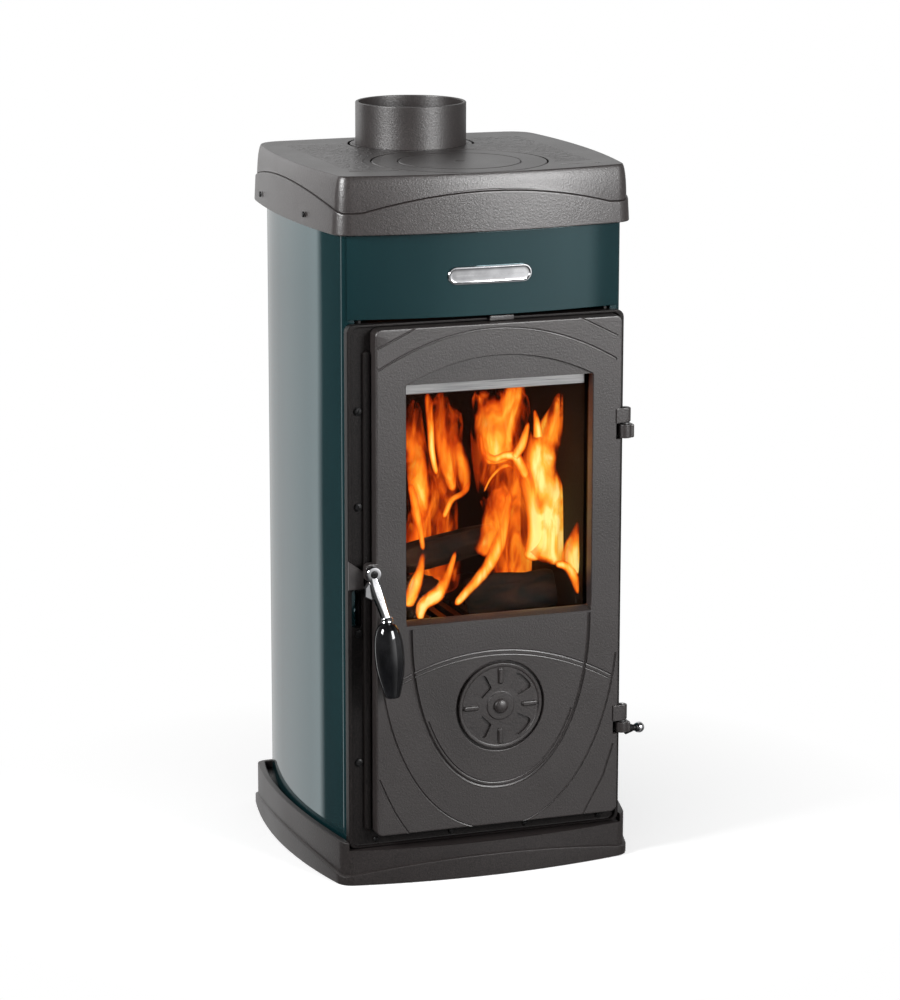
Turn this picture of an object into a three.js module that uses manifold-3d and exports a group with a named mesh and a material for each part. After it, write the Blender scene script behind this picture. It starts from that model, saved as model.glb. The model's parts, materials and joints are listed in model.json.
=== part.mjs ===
// A free-standing wood stove: bowed enamelled side panels between a cast-iron base and lid, a cast-iron
// front frame with one tall glazed door, a round hot plate and a flue collar on top.
// Units are millimetres and +Z is up. Seen from the front, +X is to the right and +Y goes to the back.
// The model is drawn with the front face of the front frame at Y = 0 and then moved back so that the
// origin is at floor level in the middle of the footprint.

import * as THREE from 'three';
import { mergeVertices } from 'three/addons/utils/BufferGeometryUtils.js';
import Module from 'manifold-3d';

// ---------------------------------------------------------------- driving dimensions

const GAP = 0.3; // between pieces that touch
const CLEAR = 1; // between pieces that move past each other
const PAST = 1; // how far a cutter runs past the face that it cuts
const FACETS = { corner: 4, round: 8, plan: 10, pin: 12, head: 16, lug: 20, rosette: 32, plate: 40 };

const FRONT_REACH = -53; // the handle grip, the foremost point
const BACK_REACH = 347; // the back of the base

// Cast base
const BASE = {
  half: 175, front: -5.5, back: 343,
  bowFront: 19, bowSide: 21, bowBack: 4,
  round: 14, roundBack: 14,
};
const BASE_INSET = 2.8; // the wall stands back from the foot band
const BASE_BAND = { low: 10, rise: 16, half: 175 }; // foot band: height at the corners, and its arcs
const BASE_DECK = 40.5; // top of the deck that carries the stove
const BASE_EAR = { low: 50, rise: 6 }; // top of the walls, and the arc of the side walls above that
const BASE_WALL = 10;

// Cast front frame, a tray that the door closes into
const FRAME = { half: 165, bottom: 41.2, top: 646, depth: 12, round: 9 };
const FRAME_FLOOR = 5; // depth of the sunk channel
const RIM = { side: 4.5, top: 3, bottom: 2 };
const MOUTH = { left: -127, right: 147, bottom: 68, top: 631, round: 12 };
const RIB = { left: -146, right: -137.6, bottom: 62, top: 616, round: 4, sunk: 1 }; // beside the door
const LATCH_SLOT = { left: -159, right: -147.5, bottom: 300, top: 343, round: 3 };
const CATCH = { left: -165, right: -147.2, sunk: -160, low: 346, highLeft: 379, highRight: 366, front: -3 };
const SCREW_HEAD = [[0, 0], [1, 0], [0.9, 1.2], [0.5, 2], [0, 2.2]]; // share of the radius, height
const CHANNEL_SCREW = { x: -151.3, radius: 4.8, heights: [548, 439, 293, 142] };
const BOTTOM_SCREW = { z: 49, radius: 3.1, first: -132, pitch: 91, count: 4 };

// Cast door
const DOOR = { left: -136.5, right: 157.5, bottom: 57, top: 642, front: -14, back: 0, lip: 4.4, round: 8 };
const DOOR_LIP = 3;
const DOOR_HOLLOW = { side: 4, skin: 7, floor: 6, belowWindow: 22 }; // the cast hollow in its back
const WINDOW = { left: -100.5, right: 122.5, bottom: 305.5, top: 577, round: 2 };
const ARCH = { rise: 27.8, depth: 3.5 }; // the recess over the window
const SILL = { drop: 4, depth: 9, above: 5 }; // bevel along the bottom of the window
const LUG = { reach: 7, root: 8, half: 10, round: 5 }; // at the left edge, for the handle
const GLASS_MARGIN = 9;
const GLASS = { front: 2.1, back: 6.1 };
const STRIP = { drop: 13, left: 6, right: 5 }; // bright strip: it shows below the window's top
const CLIP = { out: 4, over: 7, thick: 2, ends: 20 }; // sheet clips on the sides of the glass
const GASKET_WIDTH = 5;

// Primary-air rosette
const ROSETTE = { x: 12.3, z: 198.7, pocket: 53, radius: 50.5, boss: 4, bore: 3.4 };
const ROSETTE_WINDOW = { inner: 24, outer: 43, half: 0.33, corner: 4 }; // half of its angle, in radians
const AIR_HOLE_HALF = 0.36; // half of the angle of a hole in the door behind it
const ROSETTE_FACE = -15.5;
const POCKET_FLOOR = -11;
const ROSETTE_FIELD = { rim: 3.5, slope: 1, hub: 16, sunk: 1.2 }; // sunk between the rim and the hub
const ROSETTE_RIB = { from: 26, to: 45, half: 3, round: 2.9, proud: 1.6 };
const ROSETTE_SCREW_HEAD = [[8.5, 0], [8.2, 1.6], [6.6, 3.2], [3.6, 4.3], [0, 4.7]];
const ROSETTE_SCREW_SHANK = 2.9;

// Hinges: the door's knuckle rests on the frame's knuckle, with a shouldered pin through both
const HINGE = {
  x: 164, y: -9,
  doorKnuckle: 6.2, frameKnuckle: 7.8,
  lugOut: 9.5, lugFront: 6, leaf: 7,
  pin: 3, bore: 3.5,
};
const HINGES = { upper: { low: 500, split: 517, high: 535 }, lower: { low: 152, split: 165.5, high: 185 } };
const HINGE_SHOULDER = 1.3; // half of the gap between two knuckles
const NOTCH = { left: 151, back: -2 }; // cut in the door's edge beside the frame's knuckle

// Handle
const PIVOT = { x: -141.5, z: 367, pin: 4, bore: 4.4 };
const LEVER = { back: -15, front: -23, eye: 8.5, armHalf: 4.4, armDeep: 6.2, steps: 8 };
const LEVER_BEND = { right: 3.5, down: 22 }; // the middle of the arm, from the pivot
const PRONG = [[2, -4], [-5, -9], [-10, -15], [-10, -26], [-2, -30], [5, -20]]; // from the pivot
const PRONG_THICK = 5.5;
const COLLAR_POINT = [-130.4, -32, 315]; // the middle of the ring that carries the grip
const GRIP_RING = [[0, -2], [6.6, -2], [7.6, 0], [7.6, 3], [6.2, 5], [0, 5]];
const GRIP_START = 2; // the grip starts this far below that point
const GRIP_BARREL = [
  [7, 0], [10.2, 4], [12.8, 9], [15.4, 18], [16.8, 30],
  [16.8, 46], [15.2, 60], [12.4, 72], [9.8, 82], [8.6, 86],
];
const GRIP_TILT_SIDE = 0.06; // radians that the grip leans to the right
const GRIP_TILT_OUT = 0.07; // radians that the grip leans away from the door

// Enamelled body
const BODY = { half: 165.5, front: 12.6, back: 304, bow: 17.5, round: 7.5, sheet: 2.5, bottom: 42, top: 744 };
const PANEL_RETURN = 6;
const UPPER_PANEL = { half: 161.5, front: 10, bow: 18, bottom: 650, top: 744, sheet: 2.2 };
const BADGE = { length: 99, height: 20, z: 696, thick: 2.5 };

// Cast lid
const LID = {
  half: 174, front: 3.5, back: 336,
  bowFront: 21, bowSide: 13.5, bowBack: 6,
  round: 16, roundBack: 34,
};
const LID_BOTTOM = 745;
const LID_TOP = 810;
const LID_INSET = 3; // the upper part stands back from the skirt
const LID_DRAFT = { lean: 5, height: 40, steps: 4 }; // and rolls over into the top
const LID_BAND = { low: 769, rise: 21, half: 148 }; // top of the skirt, its arcs, half their span in front
const LID_SCREW = { depths: [92, 262], up: 13, radius: 3.4, head: 1.8, off: 0.8 };
const LID_WALL = 8;
const LID_PLATE = 9;

// Hot plate and flue collar on the lid
const HOT = { y: 93.5, radius: 100.5, ledge: 92, thick: 6, play: 0.6 };
const DISC = { radius: 70, ledge: 63, thick: 3, dimple: 6, dimpleDeep: 1.4 };
const COLLAR = { y: 262, outer: 65, inner: 61, top: 859.4, edge: 1 };
const SLOT = { inner: 71.5, outer: 74.5, from: -0.44, to: 0.79, deep: 20 }; // curved slots beside it, radians

// Firebox and what it holds
const BOX = { half: 148, wall: 3, front: 12.4, back: 330, bottom: 41, floor: 67.7, top: 738 };
const SHIELD = { gap: 0.6, sheet: 1.5, front: 306, back: 335, bottom: 52, top: 740 }; // sheet round the back
const SHIELD_SLOT = { rows: [110, 680], count: 5, pitch: 52, long: 36, high: 8 };
const BRICK = { thick: 20, top: 640, front: 6 };
const HEARTH = { bottom: 262, top: 272, front: 2 };
const GRATE = { left: -75, right: 75, front: 70, back: 200, ledge: 6, sunk: 3 };
const GRATE_SLITS = { count: 7, wide: 10, end: 10, edge: 8 };
const BAFFLE = { front: 80, thick: 12, play: 1 };
const PAN = { left: -97, right: 113, front: 24, back: 262, bottom: 68.3, top: 145, wall: 1.5 };
const LOG = { sides: 9, belly: 1.06, tip: 0.88 }; // how much thicker its middle and thinner its end is
const LOGS = {
  log_right: { from: [8, 92, 299], to: [108, 62, 312], radius: 24 },
  log_left: { from: [-92, 60, 296], to: [-20, 150, 304], radius: 21 },
  log_top: { from: [-62, 128, 344], to: [46, 96, 372], radius: 19 },
};

// Side air rod with its ball knob
const ROD = { y: 20, z: 145.5, radius: 3.8, valve: 7.4, valveThick: 2, hole: 5.9, ball: 6.6, ballX: 198 };

// Secondary-air slider over the door
const SLIDER = { left: 1, right: 30, bottom: 642.7, top: 648.4, front: -5, back: 36, tongue: 2, inset: 6 };

// ---------------------------------------------------------------- materials

function finish(color, roughness, metalness) {
  return new THREE.MeshStandardMaterial({ color, roughness, metalness });
}

const castIron = finish(0x46403e, 0.7, 0.6);
const enamel = finish(0x123a3c, 0.15, 0.1);
const chrome = finish(0xd8d8da, 0.12, 1);
const steel = finish(0x8f8f90, 0.45, 0.9);
const blackSteel = finish(0x1d1c1c, 0.5, 0.6);
const blackGloss = finish(0x0b0b0c, 0.1, 0);
const glass = finish(0x20160f, 0.05, 0);
const rope = finish(0xb9b4a6, 0.95, 0);
const firebrick = finish(0xa58a66, 0.9, 0);
const bark = finish(0x3a261a, 0.95, 0);

// ---------------------------------------------------------------- solids

const wasm = await Module();
wasm.setup();

// Turns a closed three.js geometry into a solid that can be cut and joined.
function toSolid(geometry) {
  const bare = geometry.clone();
  bare.deleteAttribute('normal');
  bare.deleteAttribute('uv');
  const merged = mergeVertices(bare, 1e-3);
  const mesh = new wasm.Mesh({
    numProp: 3,
    vertProperties: merged.attributes.position.array,
    triVerts: new Uint32Array(merged.index.array),
  });
  return new wasm.Manifold(mesh);
}

function toGeometry(solid) {
  const mesh = solid.getMesh();
  const geometry = new THREE.BufferGeometry();
  geometry.setAttribute('position', new THREE.BufferAttribute(mesh.vertProperties, 3));
  geometry.setIndex(new THREE.BufferAttribute(mesh.triVerts, 1));
  geometry.computeVertexNormals();
  return geometry;
}

function block(x0, x1, y0, y1, z0, z1) {
  const geometry = new THREE.BoxGeometry(x1 - x0, y1 - y0, z1 - z0);
  geometry.translate((x0 + x1) / 2, (y0 + y1) / 2, (z0 + z1) / 2);
  return toSolid(geometry);
}

// A plan outline (X, Y) raised from z0 to z1.
function prismZ(shape, z0, z1, curveSegments = FACETS.round) {
  const geometry = new THREE.ExtrudeGeometry(shape, { depth: z1 - z0, bevelEnabled: false, curveSegments });
  geometry.translate(0, 0, z0);
  return toSolid(geometry);
}

// A front-view outline (X, Z) that runs from y0 back to y1.
function prismY(shape, y0, y1, curveSegments = FACETS.corner) {
  const geometry = new THREE.ExtrudeGeometry(shape, { depth: y1 - y0, bevelEnabled: false, curveSegments });
  geometry.rotateX(Math.PI / 2);
  geometry.translate(0, y1, 0);
  return toSolid(geometry);
}

// A side-view outline (Y, Z) that runs from x0 to x1.
function prismX(shape, x0, x1, curveSegments = FACETS.round) {
  const geometry = new THREE.ExtrudeGeometry(shape, { depth: x1 - x0, bevelEnabled: false, curveSegments });
  const turn = new THREE.Matrix4().makeBasis(
    new THREE.Vector3(0, 1, 0),
    new THREE.Vector3(0, 0, 1),
    new THREE.Vector3(1, 0, 0),
  );
  geometry.applyMatrix4(turn);
  geometry.translate(x0, 0, 0);
  return toSolid(geometry);
}

function rodZ(radius, x, y, z0, z1, sides = FACETS.head) {
  const geometry = new THREE.CylinderGeometry(radius, radius, z1 - z0, sides);
  geometry.rotateX(Math.PI / 2);
  geometry.translate(x, y, (z0 + z1) / 2);
  return toSolid(geometry);
}

function rodY(radius, x, z, y0, y1, sides = FACETS.pin) {
  const geometry = new THREE.CylinderGeometry(radius, radius, y1 - y0, sides);
  geometry.translate(x, (y0 + y1) / 2, z);
  return toSolid(geometry);
}

function rodX(radius, y, z, x0, x1, sides = FACETS.pin) {
  const geometry = new THREE.CylinderGeometry(radius, radius, x1 - x0, sides);
  geometry.rotateZ(Math.PI / 2);
  geometry.translate((x0 + x1) / 2, y, z);
  return toSolid(geometry);
}

// A turned piece: [radius, height] points from the bottom of the axis to its top, or round a closed
// section.
function turned(profile, sides) {
  const points = profile.map(([radius, height]) => new THREE.Vector2(radius, height));
  return new THREE.LatheGeometry(points, sides);
}

// The same, standing on the Z axis at (x, y).
function turnedZ(profile, x, y, sides) {
  const geometry = turned(profile, sides);
  geometry.rotateX(Math.PI / 2);
  geometry.translate(x, y, 0);
  return toSolid(geometry);
}

// The same, with its height measured towards the front from the plane y.
function turnedFront(profile, x, y, z, sides) {
  const geometry = turned(profile, sides);
  geometry.rotateX(Math.PI);
  geometry.translate(x, y, z);
  return toSolid(geometry);
}

function joined(solids) {
  return solids.reduce((sum, solid) => sum.add(solid));
}

// ---------------------------------------------------------------- outlines

// A rectangle whose four sides bow outwards as parabolas, with rounded corners, seen from above.
function bowedOutline(plan, inset = 0) {
  const half = plan.half - inset;
  const front = plan.front + inset;
  const back = plan.back - inset;
  const middle = (front + back) / 2;
  const halfDepth = (back - front) / 2;
  const corner = Math.max(plan.round - inset, 2);
  const backCorner = Math.max(plan.roundBack - inset, 2);
  const onFront = (x) => front - plan.bowFront * (1 - (x / half) ** 2);
  const onBack = (x) => back + plan.bowBack * (1 - (x / half) ** 2);
  const onSide = (y) => half + plan.bowSide * (1 - ((y - middle) / halfDepth) ** 2);
  const frontX = half - corner;
  const backX = half - backCorner;
  const frontY = front + corner;
  const backY = back - backCorner;
  // A parabola between two of its points is a quadratic curve; these are its control points.
  const frontPull = 2 * onFront(0) - onFront(frontX);
  const backPull = 2 * onBack(0) - onBack(backX);
  const sidePull = onSide((frontY + backY) / 2) * 2 - (onSide(frontY) + onSide(backY)) / 2;
  const sideMiddle = (frontY + backY) / 2;
  const shape = new THREE.Shape();
  shape.moveTo(-frontX, onFront(frontX));
  shape.quadraticCurveTo(0, frontPull, frontX, onFront(frontX));
  shape.quadraticCurveTo(half, front, onSide(frontY), frontY);
  shape.quadraticCurveTo(sidePull, sideMiddle, onSide(backY), backY);
  shape.quadraticCurveTo(half, back, backX, onBack(backX));
  shape.quadraticCurveTo(0, backPull, -backX, onBack(backX));
  shape.quadraticCurveTo(-half, back, -onSide(backY), backY);
  shape.quadraticCurveTo(-sidePull, sideMiddle, -onSide(frontY), frontY);
  shape.quadraticCurveTo(-half, front, -frontX, onFront(frontX));
  return shape;
}

function roundedRect(left, right, bottom, top, radius) {
  const shape = new THREE.Shape();
  shape.moveTo(left + radius, bottom);
  shape.lineTo(right - radius, bottom);
  shape.absarc(right - radius, bottom + radius, radius, -Math.PI / 2, 0);
  shape.lineTo(right, top - radius);
  shape.absarc(right - radius, top - radius, radius, 0, Math.PI / 2);
  shape.lineTo(left + radius, top);
  shape.absarc(left + radius, top - radius, radius, Math.PI / 2, Math.PI);
  shape.lineTo(left, bottom + radius);
  shape.absarc(left + radius, bottom + radius, radius, Math.PI, Math.PI * 1.5);
  return shape;
}

// A slot round the point (x, y): part of a ring between two angles.
function ringSegment(x, y, inner, outer, from, to) {
  const shape = new THREE.Shape();
  shape.absarc(x, y, outer, from, to, false);
  shape.absarc(x, y, inner, to, from, true);
  return shape;
}

// The part of a view below an arc that springs at height low and rises by rise in the middle.
function underArc(from, to, bottom, low, rise) {
  const shape = new THREE.Shape();
  shape.moveTo(from, bottom);
  shape.lineTo(to, bottom);
  shape.lineTo(to, low);
  shape.quadraticCurveTo((from + to) / 2, low + 2 * rise, from, low);
  return shape;
}

// A wall or band round a bowed plan, from bottom up to the height low, with an arc above it on both sides
// that rises by rise half way back.
function archedSides(plan, inset, bottom, { low, rise }) {
  const outline = bowedOutline(plan, inset);
  const full = prismZ(outline, bottom, low + rise + PAST, FACETS.plan);
  const wide = plan.half + plan.bowSide + PAST;
  const sideView = underArc(plan.front, plan.back, bottom - PAST, low, rise);
  const foot = prismZ(outline, bottom, low, FACETS.plan);
  return full.intersect(prismX(sideView, -wide, wide, FACETS.pin)).add(foot);
}

// The same with an arc across the front and the back as well, which spans half to either side.
function archedBand(plan, bottom, { low, rise, half }) {
  const full = prismZ(bowedOutline(plan), bottom, low + rise + PAST, FACETS.plan);
  const frontView = underArc(-half, half, bottom - PAST, low, rise);
  const frontMost = plan.front - plan.bowFront - PAST;
  const backMost = plan.back + plan.bowBack + PAST;
  const acrossFront = full.intersect(prismY(frontView, frontMost, backMost, FACETS.pin));
  return acrossFront.add(archedSides(plan, 0, bottom, { low, rise }));
}

// ---------------------------------------------------------------- the scene graph

const stove = new THREE.Group();
const model = new THREE.Group();
model.position.y = -(FRONT_REACH + BACK_REACH) / 2;
stove.add(model);

function piece(name, solid, material) {
  const mesh = new THREE.Mesh(toGeometry(solid), material);
  mesh.name = name;
  model.add(mesh);
  return mesh;
}

// A pan-head screw that faces the front, its head standing on the plane y.
function screwFront(name, radius, x, z, y) {
  const profile = SCREW_HEAD.map(([share, height]) => [share * radius, height]);
  piece(name, turnedFront(profile, x, y, z, FACETS.plan), blackSteel);
}

// ---------------------------------------------------------------- base

function makeBase() {
  const band = archedBand(BASE, 0, BASE_BAND);
  const wall = archedSides(BASE, BASE_INSET, PAST, BASE_EAR);
  const top = BASE_EAR.low + BASE_EAR.rise + 2 * PAST;
  const inside = bowedOutline(BASE, BASE_WALL);
  const seat = prismZ(inside, BASE_DECK, top, FACETS.plan);
  const under = prismZ(inside, -PAST, BASE_DECK - BASE_WALL, FACETS.plan);
  const side = FRAME.half + CLEAR;
  const frontMost = BASE.front - BASE.bowFront - PAST;
  const frontOpen = block(-side, side, frontMost, FRAME.depth + FRAME.depth, BASE_DECK, top);
  piece('base_plinth', joined([band, wall]).subtract(seat).subtract(frontOpen).subtract(under), castIron);
}

// ---------------------------------------------------------------- enamelled body

// The right-hand panel's section: a rolled front edge, the bow, a rolled back edge and short returns.
function sidePanelSection(inset) {
  const x = BODY.half - inset;
  const front = BODY.front + inset;
  const back = BODY.back - inset;
  const round = BODY.round - inset;
  return { x, front, back, round, middle: (front + back) / 2 };
}

function makeSidePanel(name, side) {
  const outer = sidePanelSection(0);
  const inner = sidePanelSection(BODY.sheet);
  const end = BODY.half - BODY.round - PANEL_RETURN;
  const shape = new THREE.Shape();
  shape.moveTo(end, outer.front);
  shape.lineTo(outer.x - outer.round, outer.front);
  shape.quadraticCurveTo(outer.x, outer.front, outer.x, outer.front + outer.round);
  shape.quadraticCurveTo(outer.x + 2 * BODY.bow, outer.middle, outer.x, outer.back - outer.round);
  shape.quadraticCurveTo(outer.x, outer.back, outer.x - outer.round, outer.back);
  shape.lineTo(end, outer.back);
  shape.lineTo(end, inner.back);
  shape.lineTo(inner.x - inner.round, inner.back);
  shape.quadraticCurveTo(inner.x, inner.back, inner.x, inner.back - inner.round);
  shape.quadraticCurveTo(inner.x + 2 * BODY.bow, inner.middle, inner.x, inner.front + inner.round);
  shape.quadraticCurveTo(inner.x, inner.front, inner.x - inner.round, inner.front);
  shape.lineTo(end, inner.front);
  let solid = prismZ(shape, BODY.bottom, BODY.top, FACETS.pin);
  if (side < 0) {
    solid = solid.mirror([1, 0, 0]);
  } else {
    solid = solid.subtract(rodX(ROD.radius + CLEAR, ROD.y, ROD.z, end, outer.x + BODY.bow));
  }
  piece(name, solid, enamel);
}

// A bowed strip in plan, between two parabolas.
function bowedStrip(half, front, bow, thick) {
  const shape = new THREE.Shape();
  shape.moveTo(-half, front);
  shape.quadraticCurveTo(0, front - 2 * bow, half, front);
  shape.lineTo(half, front + thick);
  shape.quadraticCurveTo(0, front + thick - 2 * bow, -half, front + thick);
  return shape;
}

function makeUpperPanel() {
  const { half, front, bow, bottom, top, sheet } = UPPER_PANEL;
  piece('upper_front_panel', prismZ(bowedStrip(half, front, bow, sheet), bottom, top, FACETS.pin), enamel);
  const plan = bowedStrip(half, front - GAP - BADGE.thick, bow, BADGE.thick);
  const slab = prismZ(plan, bottom, top, FACETS.pin);
  const x = BADGE.length / 2;
  const z = BADGE.height / 2;
  const outline = roundedRect(-x, x, BADGE.z - z, BADGE.z + z, z * 0.999); // its ends are all but half round
  const frontMost = front - bow - BADGE.thick - PAST;
  piece('badge_plate', slab.intersect(prismY(outline, frontMost, front, FACETS.round)), chrome);
}

// A tray of sheet round the back of the firebox, with two rows of slots.
function makeRearShield() {
  const { gap, sheet, front, back, bottom, top } = SHIELD;
  const inner = BOX.half + gap;
  const outer = inner + sheet;
  let tray = block(-outer, outer, front, back, bottom, top)
    .subtract(block(-inner, inner, front - PAST, back - sheet, bottom - PAST, top + PAST));
  const { rows, count, pitch, long, high } = SHIELD_SLOT;
  for (const z of rows) {
    for (let i = 0; i < count; i++) {
      const left = (i - (count - 1) / 2) * pitch - long / 2;
      const low = z - high / 2;
      tray = tray.subtract(block(left, left + long, back - sheet - PAST, back + PAST, low, low + high));
    }
  }
  piece('rear_heat_shield', tray, blackSteel);
}

// ---------------------------------------------------------------- front frame

function makeFrame() {
  const { half, bottom, top, depth, round } = FRAME;
  const plate = prismY(roundedRect(-half, half, bottom, top, round), 0, depth);
  const side = half - RIM.side;
  const tray = roundedRect(-side, side, bottom + RIM.bottom, top - RIM.top, round);
  const mouth = roundedRect(MOUTH.left, MOUTH.right, MOUTH.bottom, MOUTH.top, MOUTH.round);
  const latch = LATCH_SLOT;
  const slot = roundedRect(latch.left, latch.right, latch.bottom, latch.top, latch.round);
  const rib = roundedRect(RIB.left, RIB.right, RIB.bottom, RIB.top, RIB.round);
  const solid = plate
    .subtract(prismY(tray, -PAST, FRAME_FLOOR))
    .subtract(prismY(mouth, -PAST, depth + PAST))
    .add(prismY(rib, 0, FRAME_FLOOR + RIB.sunk))
    .subtract(prismY(slot, -PAST, depth + PAST));
  piece('front_frame', solid, castIron);

  const catchShape = new THREE.Shape();
  catchShape.moveTo(CATCH.left, CATCH.low);
  catchShape.lineTo(CATCH.right, CATCH.low);
  catchShape.lineTo(CATCH.right, CATCH.highRight);
  catchShape.lineTo(CATCH.left, CATCH.highLeft);
  const stem = block(CATCH.sunk, CATCH.right, -CLEAR, FRAME_FLOOR - GAP, CATCH.low, CATCH.highRight);
  piece('latch_catch', prismY(catchShape, CATCH.front, -GAP).add(stem), castIron);

  const seat = FRAME_FLOOR - GAP;
  CHANNEL_SCREW.heights.forEach((z, i) => {
    screwFront(`frame_screw_left_${i + 1}`, CHANNEL_SCREW.radius, CHANNEL_SCREW.x, z, seat);
  });
  for (let i = 0; i < BOTTOM_SCREW.count; i++) {
    const x = BOTTOM_SCREW.first + i * BOTTOM_SCREW.pitch;
    screwFront(`frame_screw_bottom_${i + 1}`, BOTTOM_SCREW.radius, x, BOTTOM_SCREW.z, seat);
  }
}

// ---------------------------------------------------------------- door

// A window of the rosette: a ring segment round the angle middle, with soft outer corners.
function rosetteWindow(middle, half) {
  const { inner, outer, corner } = ROSETTE_WINDOW;
  const shape = new THREE.Shape();
  const at = (radius, angle) => [ROSETTE.x + radius * Math.cos(angle), ROSETTE.z + radius * Math.sin(angle)];
  const soft = corner / outer;
  shape.moveTo(...at(inner, middle - half));
  shape.lineTo(...at(outer - corner, middle - half));
  shape.quadraticCurveTo(...at(outer, middle - half), ...at(outer, middle - half + soft));
  shape.absarc(ROSETTE.x, ROSETTE.z, outer, middle - half + soft, middle + half - soft);
  shape.quadraticCurveTo(...at(outer, middle + half), ...at(outer - corner, middle + half));
  shape.lineTo(...at(inner, middle + half));
  return shape;
}

function makeDoor() {
  const { left, right, bottom, top, front, back, lip, round } = DOOR;
  const by = DOOR_LIP;
  const outline = roundedRect(left, right, bottom, top, round);
  const inside = roundedRect(left + by, right - by, bottom + by, top - by, round - by);
  const window = roundedRect(WINDOW.left, WINDOW.right, WINDOW.bottom, WINDOW.top, WINDOW.round);
  const arch = underArc(WINDOW.left, WINDOW.right, WINDOW.top - PAST, WINDOW.top, ARCH.rise);
  let solid = prismY(outline, front, lip)
    .subtract(prismY(inside, back, lip + PAST))
    .subtract(prismY(window, front - PAST, back + PAST))
    .subtract(prismY(arch, front - PAST, front + ARCH.depth, FACETS.plan));

  const sillShape = new THREE.Shape();
  sillShape.moveTo(front - PAST, WINDOW.bottom - SILL.drop);
  sillShape.lineTo(front, WINDOW.bottom - SILL.drop);
  sillShape.lineTo(front + SILL.depth, WINDOW.bottom);
  sillShape.lineTo(front + SILL.depth, WINDOW.bottom + SILL.above);
  sillShape.lineTo(front - PAST, WINDOW.bottom + SILL.above);
  solid = solid.subtract(prismX(sillShape, WINDOW.left, WINDOW.right));

  // The back is cast hollow below the window, apart from a boss behind the rosette.
  const { side, skin, floor, belowWindow } = DOOR_HOLLOW;
  const hollow = block(
    MOUTH.left + side, MOUTH.right - side,
    front + skin, back + PAST,
    MOUTH.bottom + floor, WINDOW.bottom - belowWindow,
  );
  const bossRadius = ROSETTE.pocket + ROSETTE.boss;
  const boss = rodY(bossRadius, ROSETTE.x, ROSETTE.z, front + skin - PAST, back + 2 * PAST, FACETS.rosette);
  solid = solid.subtract(hollow.subtract(boss));

  // Notches for the frame's hinge knuckles.
  for (const { low, split } of Object.values(HINGES)) {
    const notch = block(NOTCH.left, right + PAST, front - PAST, NOTCH.back, low - CLEAR, split + CLEAR);
    solid = solid.subtract(notch);
  }

  // The round pocket, the four air holes in its floor and the bore of the centre screw.
  const { x, z, pocket, bore } = ROSETTE;
  solid = solid.subtract(rodY(pocket, x, z, front - PAST, POCKET_FLOOR, FACETS.rosette));
  for (let i = 0; i < 4; i++) {
    const hole = rosetteWindow((i * Math.PI) / 2, AIR_HOLE_HALF);
    solid = solid.subtract(prismY(hole, POCKET_FLOOR - PAST, back + PAST));
  }
  solid = solid.subtract(rodY(bore, x, z, POCKET_FLOOR - PAST, back + PAST));

  // The lug at the left edge that carries the handle.
  const lugLeft = PIVOT.x - LUG.reach;
  const lug = roundedRect(lugLeft, left + LUG.root, PIVOT.z - LUG.half, PIVOT.z + LUG.half, LUG.round);
  solid = solid.add(prismY(lug, front, CATCH.front - CLEAR - GAP));
  solid = solid.subtract(rodY(PIVOT.bore, PIVOT.x, PIVOT.z, front - PAST, back + PAST));
  piece('door', solid, castIron);
}

function makeDoorFittings() {
  const left = WINDOW.left - GLASS_MARGIN;
  const right = WINDOW.right + GLASS_MARGIN;
  const bottom = WINDOW.bottom - GLASS_MARGIN;
  const top = WINDOW.top + GLASS_MARGIN;
  piece('door_glass', block(left, right, GLASS.front, GLASS.back, bottom, top), glass);

  // The strip lies over the top of the glass, and a three-sided seal takes the other edges.
  const sealFront = DOOR.back + GAP;
  const sealBack = GLASS.front - GAP;
  const low = WINDOW.top - STRIP.drop;
  const strip = block(WINDOW.left - STRIP.left, WINDOW.right - STRIP.right, sealFront, sealBack, low, top);
  piece('air_wash_strip', strip, steel);
  const width = GLASS_MARGIN - CLEAR;
  const openBack = sealBack + PAST;
  const seal = block(left, right, sealFront, sealBack, bottom, low - GAP)
    .subtract(block(left + width, right - width, DOOR.back, openBack, bottom + width, low + PAST));
  piece('glass_seal', seal, rope);

  for (const side of [-1, 1]) {
    const edge = side < 0 ? left : right;
    const outside = edge + side * CLIP.out;
    const over = edge - side * CLIP.over;
    const foot = edge + side * GAP;
    const clip = new THREE.Shape();
    clip.moveTo(foot, sealFront);
    clip.lineTo(outside, sealFront);
    clip.lineTo(outside, GLASS.back + CLIP.thick);
    clip.lineTo(over, GLASS.back + CLIP.thick);
    clip.lineTo(over, GLASS.back + GAP);
    clip.lineTo(foot, GLASS.back + GAP);
    const name = side < 0 ? 'glass_clip_left' : 'glass_clip_right';
    piece(name, prismZ(clip, WINDOW.bottom + CLIP.ends, WINDOW.top - CLIP.ends), blackSteel);
  }

  const lipInside = DOOR_LIP + GAP;
  const ropeLine = (by, radius) => {
    return roundedRect(DOOR.left + by, DOOR.right - by, DOOR.bottom + by, DOOR.top - by, radius);
  };
  const outline = ropeLine(lipInside, DOOR.round - DOOR_LIP);
  const hole = ropeLine(lipInside + GASKET_WIDTH, 1);
  const gasket = prismY(outline, sealFront, FRAME_FLOOR - GAP).subtract(prismY(hole, DOOR.back, FRAME_FLOOR));
  piece('door_gasket', gasket, rope);
}

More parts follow.
